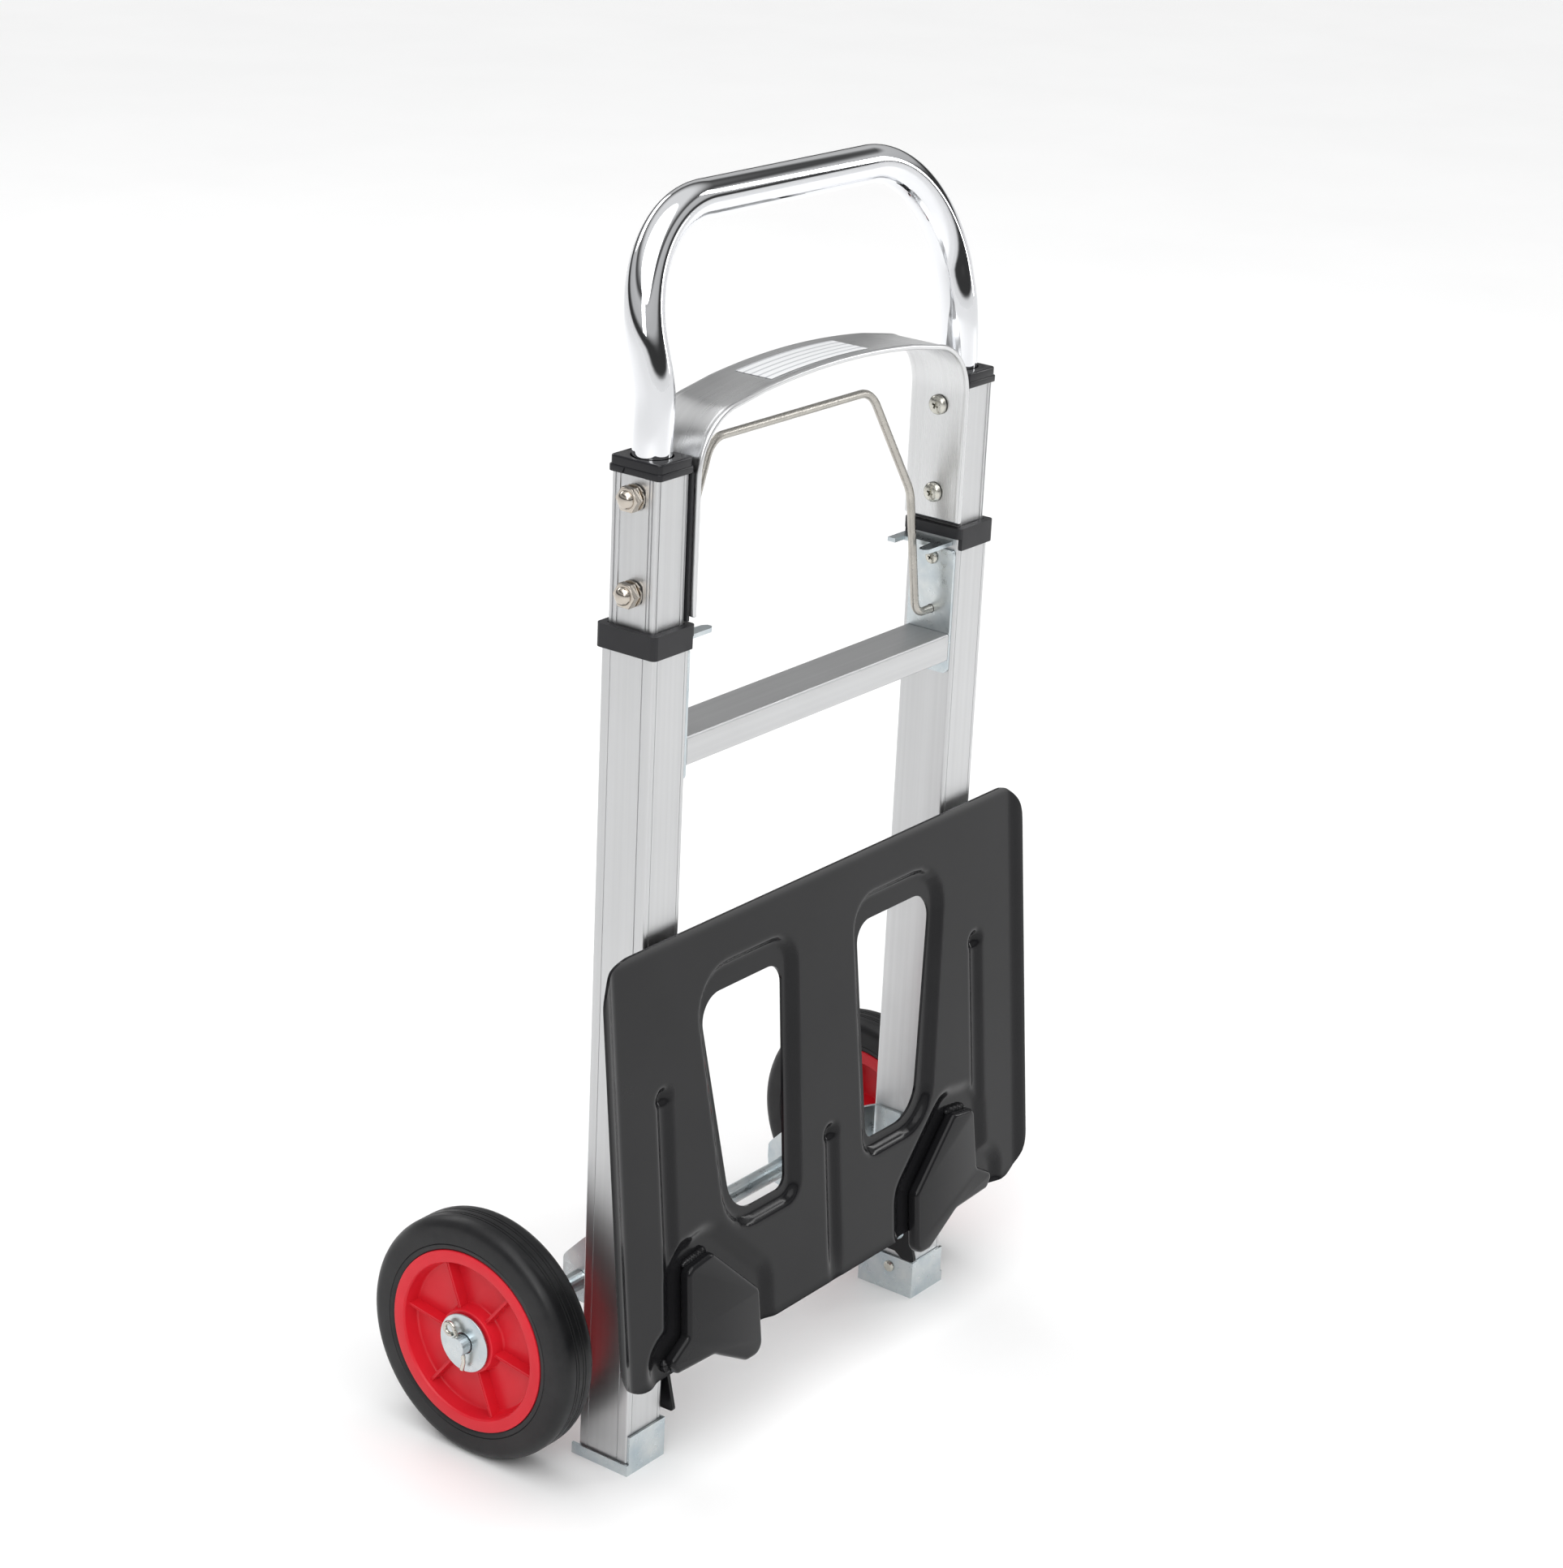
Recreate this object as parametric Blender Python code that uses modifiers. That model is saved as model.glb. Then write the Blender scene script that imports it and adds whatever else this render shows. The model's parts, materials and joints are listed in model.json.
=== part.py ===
"""Folding hand truck: telescopic handle, fold-up toe plate, two wheels on a straight axle.

Metres, +Z up, +X to the truck's right, +Y to the rear, where the user stands.
Every piece is modelled with the rails' front faces at Y = 0 and the shoes' soles at Z = 0.
A root empty then carries the truck so that its origin is under the middle of its box.
"""

import math

import bmesh
import bpy
from mathutils import Matrix, Vector

# Fits
GAP = 0.0003
CENTRE_TO_RAIL_FRONT = 0.0617

# Outer rails and their shoes
RAIL_X = 0.1424
RAIL_WIDTH = 0.0306
RAIL_DEPTH = 0.0362
RAIL_WALL = 0.0016
RAIL_TOP = 0.5057
RAIL_CORNER = 0.002
SHOE_SHEET = 0.0015
SHOE_HEIGHT = 0.025
SHOE_LIP = 0.007
SHOE_BACK = 0.040
SHOE_RIVET = (0.0163, 0.0171)
SHOE_RIVET_HEAD = [(0, 0.0011), (0.0022, 0.0010), (0.0036, 0.0004), (0.0038, 0), (0, 0)]

# Inner rails, which carry the handle
INNER_WIDTH = 0.0264
INNER_DEPTH = 0.0317
INNER_WALL = 0.0012
INNER_Y = 0.0181
INNER_BOTTOM = 0.085
INNER_TOP = 0.5985

# Collars on the outer rails
COLLAR_WIDTH = 0.0354
COLLAR_FRONT = -0.0025
COLLAR_BACK = 0.0387
COLLAR_BOTTOM = 0.499
COLLAR_STEP = 0.506
COLLAR_TOP = 0.5125
COLLAR_CORNER = 0.003

# Handle tube
TUBE_RADIUS = 0.0113
TUBE_WALL = 0.0012
TUBE_FOOT_X = 0.1421
TUBE_X = 0.1405
TUBE_Y = 0.0178
TUBE_BOTTOM = 0.512
TUBE_SET_BOTTOM = 0.608
TUBE_SET_TOP = 0.640
TUBE_TOP = 0.7286
TUBE_CORNER = 0.0664
TUBE_LEAN_START = 0.6404
TUBE_LEAN_SLOPE = 0.291
TUBE_LEAN_BLEND = 0.006
TUBE_CORNER_STEPS = 7

# Caps on the inner rails
CAP_INSIDE = 0.1269
CAP_OUTSIDE = 0.157
CAP_FRONT = 0.0002
CAP_BACK = 0.036
CAP_BOTTOM = 0.5966
CAP_TOP = 0.6055
CAP_CORNER = 0.002

# Bridge strap and its spacers
STRAP_X = 0.125
STRAP_SHEET = 0.003
STRAP_FRONT = -0.002
STRAP_BACK = 0.038
STRAP_BOTTOM = 0.516
STRAP_CROWN = 0.636
STRAP_CROWN_RADIUS = 0.568
STRAP_CORNER = 0.035
SPACER_FRONT = 0.001
SPACER_BACK = 0.0355
SPACER_BOTTOM = 0.5138

# Bolts through strap, spacer, inner rail and tube
BOLT_HEIGHTS = {"lower": 0.532, "upper": 0.585}
BOLT_SHANK = 0.0035
BOLT_HOLE = 0.0038
BOLT_HEAD = 0.006
BOLT_HEAD_HEIGHT = 0.0033
WASHER_RADIUS = 0.0075
WASHER_SHEET = 0.0012
NUT_FLATS = 0.013
NUT_HEX_HEIGHT = 0.0055
NUT_HEIGHT = 0.0095

# Crossbar
BAR_BOTTOM = 0.430
BAR_TOP = 0.447
BAR_FRONT = 0.001
BAR_BACK = 0.032
BAR_WALL = 0.0015
BAR_CORNER = 0.0015

# Lock plates, screws, latch forks and release bail
LOCK_SHEET = 0.002
LOCK_FRONT = 0.001
LOCK_BACK = 0.032
LOCK_BOTTOM = 0.422
LOCK_TOP = 0.4985
LOCK_CORNER = 0.003
LOCK_SCREW = (0.0165, 0.492)
LOCK_SCREW_HOLE = 0.0023
LOCK_SCREW_PROFILE = [(0, 0.0022), (0.0026, 0.0020), (0.0040, 0.0010), (0.0042, 0), (0.0020, 0),
                      (0.0020, -0.0046), (0, -0.0046)]
BAIL_PIVOT = (0.0155, 0.460)
BAIL_WIRE = 0.0025
BAIL_LEAN = math.radians(6.6)
BAIL_END = 0.1264
BAIL_LEG = 0.109
BAIL_KNEE_HEIGHT = 0.074
BAIL_TOP_HEIGHT = 0.140
BAIL_TOP_X = 0.074
BAIL_BENDS = [0.008, 0.020, 0.010, 0.010, 0.020, 0.008]
FORK_BOTTOM = 0.5012
FORK_SHEET = 0.0025
FORK_TONGUE = (0.012, 0.024)
FORK = [(0.1268, 0.004), (0.1268, 0.012), (0.1289, 0.012), (0.1289, 0.024), (0.1268, 0.024), (0.1268, 0.037),
        (0.107, 0.037), (0.107, 0.0315), (0.1155, 0.0315), (0.1155, 0.012), (0.103, 0.011), (0.100, 0.009),
        (0.100, 0.006), (0.103, 0.004)]

# Toe plate: standoff is from the hinge axis to the plate's face, heights run up the plate
TOE_PIVOT = (0.010, 0.048)
TOE_LEAN = math.radians(5.33)
TOE_STANDOFF = 0.0425
TOE_WIDTH = 0.405
TOE_LOW = 0.0242
TOE_HIGH = 0.2852
TOE_SHEET = 0.0018
TOE_CORNER = 0.025
TOE_RIM_WIDTH = 0.018
TOE_RIM_DEPTH = 0.003
TOE_PRESS = 0.0035
TOE_BLEND = 0.009
WINDOW = [(0.0365, 0.238, 0.014), (0.1135, 0.238, 0.014), (0.091, 0.098, 0.024), (0.0405, 0.098, 0.008)]
WINDOW_LIP = 0.006
RIB_HALF = 0.004
SIDE_RIB = (0.153, 0.062, 0.195)
MIDDLE_RIB = (0.0, 0.030, 0.118)
RIB_SHARE = 0.7

# Grid lines of the pressed sheet, across from its middle and up from its foot
TOE_COLUMNS = [0, 0.008, 0.021, 0.033, 0.058, 0.0735, 0.104, 0.1195, 0.132, 0.1445, 0.153, 0.1635, 0.185,
               0.195, 0.204]
TOE_ROWS = [0.0235, 0.045, 0.058, 0.078, 0.090, 0.1045, 0.130, 0.165, 0.190, 0.203, 0.227, 0.249, 0.262,
            0.274, 0.2865]

# Toe brackets, arms and hinge pins
BRACKET = [(0.121, 0.089, 0.006), (0.143, 0.086, 0.006), (0.145, 0.045, 0.004), (0.162, 0.035, 0.004),
           (0.156, 0.0265, 0.004), (0.122, 0.025, 0.010), (0.093, 0.009, 0.008), (0.078, 0.009, 0.008),
           (0.079, 0.050, 0.006)]
BRACKET_SHEET = 0.002
BRACKET_PROUD = 0.005
BRACKET_BACK = -0.0022
POCKET_LIP = 0.009
ARM_INSIDE = 0.1205
ARM_OUTSIDE = 0.123
ARM_REACH = 0.0064
PIN_RADIUS = 0.004
PIN_HEAD = 0.007
PIN_COLLAR = 0.0062
PIN_STEP = 0.0031
PIN_TAIL = 0.0045

# Axle, its brackets and the wheels
AXLE_Y = 0.0848
AXLE_Z = 0.075
AXLE_RADIUS = 0.006
AXLE_END = 0.2125
STAY_SHEET = 0.0022
STAY_INSIDE = 0.101
STAY_TOP = 0.126
STAY_SHELF = 0.114
STAY_SHAPE = [(0.010, 0.070, 0.004), (0.034, 0.070, 0.010), (0.076, 0.060, 0.008), (0.096, 0.060, 0.008),
              (0.099, 0.086, 0.010), (0.082, 0.104, 0.012), (0.040, STAY_TOP, 0.008),
              (0.010, STAY_TOP, 0.004)]
STAY_RIVET = (0.023, 0.102)
STAY_RIVET_HEAD = [(0, 0.0018), (0.0026, 0.0016), (0.0046, 0.0006), (0.0050, 0), (0, 0)]
WHEEL_RADIUS = 0.075
WHEEL_INSIDE = 0.174
WHEEL_OUTSIDE = 0.2038
HUB_RADIUS = 0.0562
HUB_LIP = 0.048
HUB_BOSS = 0.020
HUB_DISH = 0.010
HUB_FLOOR_SHEET = 0.004
HUB_RIB = 0.0024
HUB_RIB_HEIGHT = 0.0065
HUB_RIBS = 6
HUB_RIB_START = math.radians(8)
HUB_BORE = 0.0063
WHEEL_WASHER_RADIUS = 0.018
WHEEL_WASHER_SHEET = 0.0015
STOP_RADIUS = 0.010
STOP_WIDTH = 0.006
COTTER_WIRE = 0.0013
COTTER_X = 0.2088
COTTER_EYE = 0.0036
COTTER_TILT = math.radians(-25)

SIDES = {"left": -1, "right": 1}
PLANES = {"XY": (0, 0, 0), "XZ": (math.pi / 2, 0, 0), "YZ": (math.pi / 2, 0, math.pi / 2)}
FINISHES = {
    "aluminium": ((0.74, 0.75, 0.77), 0.32, 1.0),
    "chrome": ((0.86, 0.87, 0.88), 0.06, 1.0),
    "steel": ((0.62, 0.60, 0.56), 0.28, 1.0),
    "zinc": ((0.66, 0.71, 0.74), 0.34, 1.0),
    "black_enamel": ((0.020, 0.020, 0.022), 0.22, 0.0),
    "black_plastic": ((0.018, 0.018, 0.020), 0.38, 0.0),
    "red_plastic": ((0.62, 0.015, 0.030), 0.36, 0.0),
    "rubber": ((0.022, 0.022, 0.024), 0.55, 0.0),
}


def collection(name, hidden=False):
    made = bpy.data.collections.new(name)
    bpy.context.scene.collection.children.link(made)
    made.hide_render = hidden
    return made


def empty(name, place, parent=None):
    made = bpy.data.objects.new(name, None)
    made.location = place
    PARTS.objects.link(made)
    if parent:
        made.parent = parent
        made.matrix_parent_inverse = Matrix.Translation(parent.location).inverted()
    return made


def hang(thing, carrier):
    """Parents a thing to an empty and leaves it where it is."""
    thing.parent = carrier
    thing.matrix_parent_inverse = Matrix.Translation(carrier.location).inverted()


def material(name, finish):
    colour, roughness, metallic = FINISHES[finish]
    made = bpy.data.materials.new(name)
    made.use_nodes = True
    shader = made.node_tree.nodes["Principled BSDF"]
    shader.inputs["Base Color"].default_value = (*colour, 1)
    shader.inputs["Roughness"].default_value = roughness
    shader.inputs["Metallic"].default_value = metallic
    made.diffuse_color = (*colour, 1)
    return made


def part(thing, finish, carrier, smooth=False):
    thing.data.materials.append(material(thing.name + "_finish", finish))
    PARTS.objects.link(thing)
    hang(thing, carrier)
    if smooth:
        thing.data.shade_smooth()
        thing.data.set_sharp_from_angle(angle=math.radians(35))
    return thing


def cutter(thing):
    CUTTERS.objects.link(thing)
    hang(thing, ROOT)
    thing.hide_render = True
    thing.display_type = "WIRE"
    return thing


def boolean(thing, other, operation):
    change = thing.modifiers.new(other.name, "BOOLEAN")
    change.operation = operation
    change.object = cutter(other)


def cut(thing, *others):
    for other in others:
        boolean(thing, other, "DIFFERENCE")


def weld(mesh):
    work = bmesh.new()
    work.from_mesh(mesh)
    bmesh.ops.remove_doubles(work, verts=work.verts, dist=0.00001)
    bmesh.ops.recalc_face_normals(work, faces=work.faces)
    work.to_mesh(mesh)
    work.free()


def meshed(curve_object):
    """The welded mesh of a curve object, as a new object in the same place."""
    bpy.context.scene.collection.objects.link(curve_object)
    bpy.context.view_layer.update()
    evaluated = curve_object.evaluated_get(bpy.context.evaluated_depsgraph_get())
    mesh = bpy.data.meshes.new_from_object(evaluated)
    weld(mesh)
    name = curve_object.name
    place = curve_object.matrix_world.copy()
    bpy.data.objects.remove(curve_object)
    made = bpy.data.objects.new(name, mesh)
    made.matrix_world = place
    return made


def curve(name, splines, dimensions, cyclic):
    data = bpy.data.curves.new(name, "CURVE")
    data.dimensions = dimensions
    for points in splines:
        spline = data.splines.new("POLY")
        spline.points.add(len(points) - 1)
        for point, place in zip(spline.points, points):
            point.co = (*place, 1) if len(place) == 3 else (*place, 0, 1)
        spline.use_cyclic_u = cyclic
    return bpy.data.objects.new(name, data)


def across(plane, low, high):
    middle = (low + high) / 2
    return {"XY": (0, 0, middle), "XZ": (0, middle, 0), "YZ": (middle, 0, 0)}[plane]


def flat(name, plane, outlines, low, high, fill="BOTH"):
    """A flat outline, holes included, made solid between two stations across its plane."""
    made = curve(name, outlines, "2D", True)
    made.data.fill_mode = fill
    made.data.extrude = abs(high - low) / 2
    made.location = across(plane, low, high)
    made.rotation_euler = PLANES[plane]
    return meshed(made)


def ribbon(name, plane, points, low, high, sheet, offset=0):
    """An open strip of sheet metal that follows the points, between two stations across its plane."""
    made = curve(name, [points], "3D", False)
    made.data.extrude = abs(high - low) / 2
    made.location = across(plane, low, high)
    made.rotation_euler = PLANES[plane]
    strip = meshed(made)
    thick = strip.modifiers.new("sheet", "SOLIDIFY")
    thick.thickness = sheet
    thick.offset = offset
    thick.use_even_offset = True
    return strip


def wire(name, points, radius, resolution):
    made = curve(name, [points], "3D", False)
    made.data.bevel_depth = radius
    made.data.bevel_resolution = resolution
    made.data.use_fill_caps = True
    return meshed(made)


def box(name, low, high):
    mesh = bpy.data.meshes.new(name)
    work = bmesh.new()
    bmesh.ops.create_cube(work, size=1)
    size = Vector(high) - Vector(low)
    middle = (Vector(high) + Vector(low)) / 2
    bmesh.ops.scale(work, vec=size, verts=work.verts)
    bmesh.ops.translate(work, vec=middle, verts=work.verts)
    work.to_mesh(mesh)
    work.free()
    return bpy.data.objects.new(name, mesh)


def side_box(name, side, x, y, z):
    """A box given by its distances from the truck's middle plane, on the left or the right."""
    low_x, high_x = sorted((side * x[0], side * x[1]))
    return box(name, (low_x, y[0], z[0]), (high_x, y[1], z[1]))


def rod(name, side, x, y, z, radius, sides=12):
    """A plain cylinder along X, given by its distances from the middle plane."""
    mesh = bpy.data.meshes.new(name)
    work = bmesh.new()
    bmesh.ops.create_cone(work, cap_ends=True, segments=sides, radius1=radius, radius2=radius,
                          depth=abs(x[1] - x[0]))
    turn = Matrix.Rotation(math.pi / 2, 4, "Y")
    place = Matrix.Translation((side * (x[0] + x[1]) / 2, y, z))
    bmesh.ops.transform(work, matrix=place @ turn, verts=work.verts)
    work.to_mesh(mesh)
    work.free()
    return bpy.data.objects.new(name, mesh)


def turned(name, profile, side, x, y, z, steps=24):
    """A closed profile of (radius, height) turned about an axis along X; height runs outwards from x."""
    mesh = bpy.data.meshes.new(name)
    points = [(radius, 0, height) for radius, height in profile]
    solid = min(radius for radius, _ in profile) == 0
    edges = [(n, n + 1) for n in range(len(points) - 1)]
    if not solid:
        edges.append((len(points) - 1, 0))
    mesh.from_pydata(points, edges, [])
    made = bpy.data.objects.new(name, mesh)
    screw = made.modifiers.new("turn", "SCREW")
    screw.steps = steps
    screw.render_steps = steps
    screw.use_merge_vertices = True
    screw.merge_threshold = 0.00001
    screw.use_smooth_shade = False
    made.rotation_euler = (0, side * math.pi / 2, 0)
    made.location = (side * x, y, z)
    return made


def rounded(corners, steps=4, scale=1):
    """A polygon of (x, y, radius) corners as points, each corner an arc."""
    points = []
    count = len(corners)
    for n, (x, y, radius) in enumerate(corners):
        here = Vector((x, y))
        back = (Vector(corners[n - 1][:2]) - here).normalized()
        ahead = (Vector(corners[(n + 1) % count][:2]) - here).normalized()
        half = back.angle(ahead) / 2
        reach = radius / math.tan(half)
        start = here + back * reach
        middle = here + (back + ahead).normalized() * radius / math.sin(half)
        sweep = math.pi - 2 * half
        turn = math.copysign(1, back.cross(ahead))
        for step in range(steps + 1):
            arm = start - middle
            arm.rotate(Matrix.Rotation(-turn * sweep * step / steps, 2))
            spot = middle + arm
            points.append((spot.x * scale, spot.y))
    return points


def rectangle(low, high, radius, steps=3):
    corners = [(low[0], low[1], radius), (high[0], low[1], radius), (high[0], high[1], radius),
               (low[0], high[1], radius)]
    return rounded(corners, steps)


def blend(value, start, end):
    """0 before start, 1 after end, smooth between."""
    share = min(max((value - start) / (end - start), 0), 1)
    return share * share * (3 - 2 * share)


def filleted(points, radii, steps=5):
    """An open path with an arc of its own radius at each inner point."""
    path = [Vector(points[0])]
    for before, here, after, radius in zip(points, points[1:], points[2:], radii):
        here = Vector(here)
        back = (Vector(before) - here).normalized()
        ahead = (Vector(after) - here).normalized()
        half = back.angle(ahead) / 2
        reach = radius / math.tan(half)
        middle = here + (back + ahead).normalized() * radius / math.sin(half)
        start = (here + back * reach - middle).normalized()
        end = (here + ahead * reach - middle).normalized()
        path += [middle + start.slerp(end, step / steps) * radius for step in range(steps + 1)]
    path.append(Vector(points[-1]))
    return path


def rail_section(middle, width, depth, centre_y, wall):
    """Outer and inner outlines of a rectangular tube, seen from above."""
    half = Vector((width / 2, depth / 2))
    centre = Vector((middle, centre_y))
    inset = Vector((wall, wall))
    return [rectangle(centre - half, centre + half, RAIL_CORNER),
            rectangle(centre - half + inset, centre + half - inset, RAIL_CORNER - wall / 2, 1)]


def outer_rail(name, side):
    rail = flat(f"outer_rail_{name}", "XY",
                rail_section(side * RAIL_X, RAIL_WIDTH, RAIL_DEPTH, RAIL_DEPTH / 2, RAIL_WALL),
                SHOE_SHEET + GAP, RAIL_TOP)
    wall = (RAIL_INSIDE - 0.002, RAIL_INSIDE + 0.004)
    cut(rail, rod(f"hinge_hole_{name}", side, wall, *TOE_PIVOT, PIN_RADIUS + GAP),
        rod(f"screw_hole_{name}", side, wall, *LOCK_SCREW, LOCK_SCREW_HOLE),
        side_box(f"fork_slot_{name}", side, wall, (FORK_TONGUE[0] - GAP, FORK_TONGUE[1] + GAP),
                 (FORK_BOTTOM - GAP, FORK_BOTTOM + FORK_SHEET + GAP)))
    return part(rail, "aluminium", ROOT)


def shoe(name, side):
    inside = RAIL_INSIDE - GAP - SHOE_SHEET
    outside = RAIL_OUTSIDE + GAP + SHOE_SHEET
    front = -GAP - SHOE_SHEET
    made = side_box(f"foot_shoe_{name}", side, (inside, outside), (front, SHOE_BACK), (0, SHOE_HEIGHT))
    room = side_box(f"shoe_room_{name}", side, (inside + SHOE_SHEET, outside - SHOE_SHEET),
                    (front + SHOE_SHEET, SHOE_BACK + 0.01), (SHOE_SHEET, SHOE_HEIGHT + 0.01))
    open_side = side_box(f"shoe_side_{name}", side, (outside - SHOE_SHEET - 0.0003, outside + 0.01),
                         (front - 0.01, SHOE_BACK + 0.01), (SHOE_LIP, SHOE_HEIGHT + 0.01))
    cut(made, room, open_side)
    part(made, "zinc", ROOT)
    rivet = turned(f"shoe_rivet_{name}", SHOE_RIVET_HEAD, -side, 0, *SHOE_RIVET, 16)
    rivet.location.x = side * (inside - GAP)
    part(rivet, "steel", ROOT, True)


def collar(name, side):
    half = COLLAR_WIDTH / 2
    inside, outside = RAIL_X - half, RAIL_X + half
    outline = rectangle((side * RAIL_X - half, COLLAR_FRONT), (side * RAIL_X + half, COLLAR_BACK),
                        COLLAR_CORNER)
    ring = flat(f"rail_collar_{name}", "XY", [outline], COLLAR_BOTTOM, COLLAR_TOP)
    inner = [RAIL_X - INNER_WIDTH / 2 - GAP, RAIL_X + INNER_WIDTH / 2 + GAP]
    depth = [INNER_Y - INNER_DEPTH / 2 - GAP, INNER_Y + INNER_DEPTH / 2 + GAP]
    bore = side_box(f"collar_bore_{name}", side, inner, depth, (COLLAR_BOTTOM - 0.01, COLLAR_TOP + 0.01))
    socket = side_box(f"collar_socket_{name}", side, (RAIL_INSIDE - GAP, RAIL_OUTSIDE + GAP),
                      (-GAP, RAIL_DEPTH + GAP), (COLLAR_BOTTOM - 0.01, COLLAR_STEP))
    window = side_box(f"collar_window_{name}", side, (inside - 0.01, RAIL_INSIDE + 0.0001),
                      (COLLAR_FRONT - 0.01, COLLAR_BACK + 0.01), (COLLAR_BOTTOM - 0.01, COLLAR_STEP))
    cut(ring, bore, socket, window)
    return part(ring, "black_plastic", ROOT)


def crossbar():
    outer = rectangle((BAR_FRONT, BAR_BOTTOM), (BAR_BACK, BAR_TOP), BAR_CORNER)
    inner = rectangle((BAR_FRONT + BAR_WALL, BAR_BOTTOM + BAR_WALL), (BAR_BACK - BAR_WALL, BAR_TOP - BAR_WALL),
                      BAR_CORNER / 2, 1)
    bar = flat("crossbar", "YZ", [outer, inner], -LOCK_INSIDE + GAP, LOCK_INSIDE - GAP)
    return part(bar, "aluminium", ROOT)


def lock_plate(name, side):
    outline = rectangle((LOCK_FRONT, LOCK_BOTTOM), (LOCK_BACK, LOCK_TOP), LOCK_CORNER)
    low, high = sorted((side * LOCK_INSIDE, side * (LOCK_INSIDE + LOCK_SHEET)))
    plate = flat(f"lock_plate_{name}", "YZ", [outline], low, high)
    reach = (LOCK_INSIDE - 0.003, LOCK_INSIDE + LOCK_SHEET + 0.0002)
    cut(plate, rod(f"bail_hole_{name}", side, reach, *BAIL_PIVOT, BAIL_WIRE + GAP),
        rod(f"lock_screw_hole_{name}", side, reach, *LOCK_SCREW, LOCK_SCREW_HOLE))
    part(plate, "zinc", ROOT)
    screw = turned(f"lock_screw_{name}", LOCK_SCREW_PROFILE, -side, 0, *LOCK_SCREW, 16)
    screw.location.x = side * (LOCK_INSIDE - GAP)
    part(screw, "steel", ROOT)


def latch_fork(name, side):
    outline = [(side * x, y) for x, y in FORK]
    fork = flat(f"latch_fork_{name}", "XY", [outline], FORK_BOTTOM, FORK_BOTTOM + FORK_SHEET)
    carrier = empty(f"latch_slide_{name}", (side * BAIL_LEG, BAIL_PIVOT[0], FORK_BOTTOM), ROOT)
    return part(fork, "zinc", carrier)


def bail():
    """Spring wire: ends in the lock plates, legs up, shoulders in, and a straight grip bar."""
    lean = Vector((0, math.sin(BAIL_LEAN), math.cos(BAIL_LEAN)))
    foot = Vector((0, *BAIL_PIVOT))

    def spot(x, height):
        return Vector((x, 0, 0)) + foot + lean * height

    half = [(BAIL_END, 0), (BAIL_LEG, 0), (BAIL_LEG, BAIL_KNEE_HEIGHT), (BAIL_TOP_X, BAIL_TOP_HEIGHT)]
    points = [spot(-x, height) for x, height in half] + [spot(x, height) for x, height in reversed(half)]
    path = filleted(points, BAIL_BENDS)
    carrier = empty("bail_pivot", foot, ROOT)
    return part(wire("release_bail", path, BAIL_WIRE, 2), "steel", carrier, True)


def inner_rail(name, side):
    rail = flat(f"inner_rail_{name}", "XY",
                rail_section(side * RAIL_X, INNER_WIDTH, INNER_DEPTH, INNER_Y, INNER_WALL),
                INNER_BOTTOM, INNER_TOP)
    reach = (RAIL_X - 0.02, RAIL_X + 0.02)
    for level, height in BOLT_HEIGHTS.items():
        cut(rail, rod(f"rail_bolt_hole_{level}_{name}", side, reach, TUBE_Y, height, BOLT_HOLE))
    return part(rail, "aluminium", HANDLE)


def end_cap(name, side):
    low, high = sorted((side * CAP_INSIDE, side * CAP_OUTSIDE))
    cap = flat(f"rail_cap_{name}", "XY", [rectangle((low, CAP_FRONT), (high, CAP_BACK), CAP_CORNER)],
               CAP_BOTTOM, CAP_TOP)
    skirt = side_box(f"cap_room_{name}", side,
                     (RAIL_X - INNER_WIDTH / 2 - GAP, RAIL_X + INNER_WIDTH / 2 + GAP),
                     (INNER_Y - INNER_DEPTH / 2 - GAP, INNER_Y + INNER_DEPTH / 2 + GAP),
                     (CAP_BOTTOM - 0.01, INNER_TOP + GAP))
    bore = bpy.data.objects.new(f"cap_bore_{name}", bpy.data.meshes.new(f"cap_bore_{name}"))
    work = bmesh.new()
    radius = TUBE_RADIUS + 2 * GAP
    bmesh.ops.create_cone(work, cap_ends=True, segments=24, radius1=radius, radius2=radius, depth=0.04)
    work.to_mesh(bore.data)
    work.free()
    bore.location = (side * TUBE_FOOT_X, TUBE_Y, CAP_TOP)
    cut(cap, skirt, bore)
    return part(cap, "black_plastic", HANDLE)


def tube_y(height):
    """The handle's legs are plumb in the rails and lean back above them."""
    lean = math.log1p(math.exp((height - TUBE_LEAN_START) / TUBE_LEAN_BLEND))
    return TUBE_Y + TUBE_LEAN_SLOPE * TUBE_LEAN_BLEND * lean


def tube_x(height):
    return TUBE_FOOT_X - (TUBE_FOOT_X - TUBE_X) * blend(height, TUBE_SET_BOTTOM, TUBE_SET_TOP)


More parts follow.
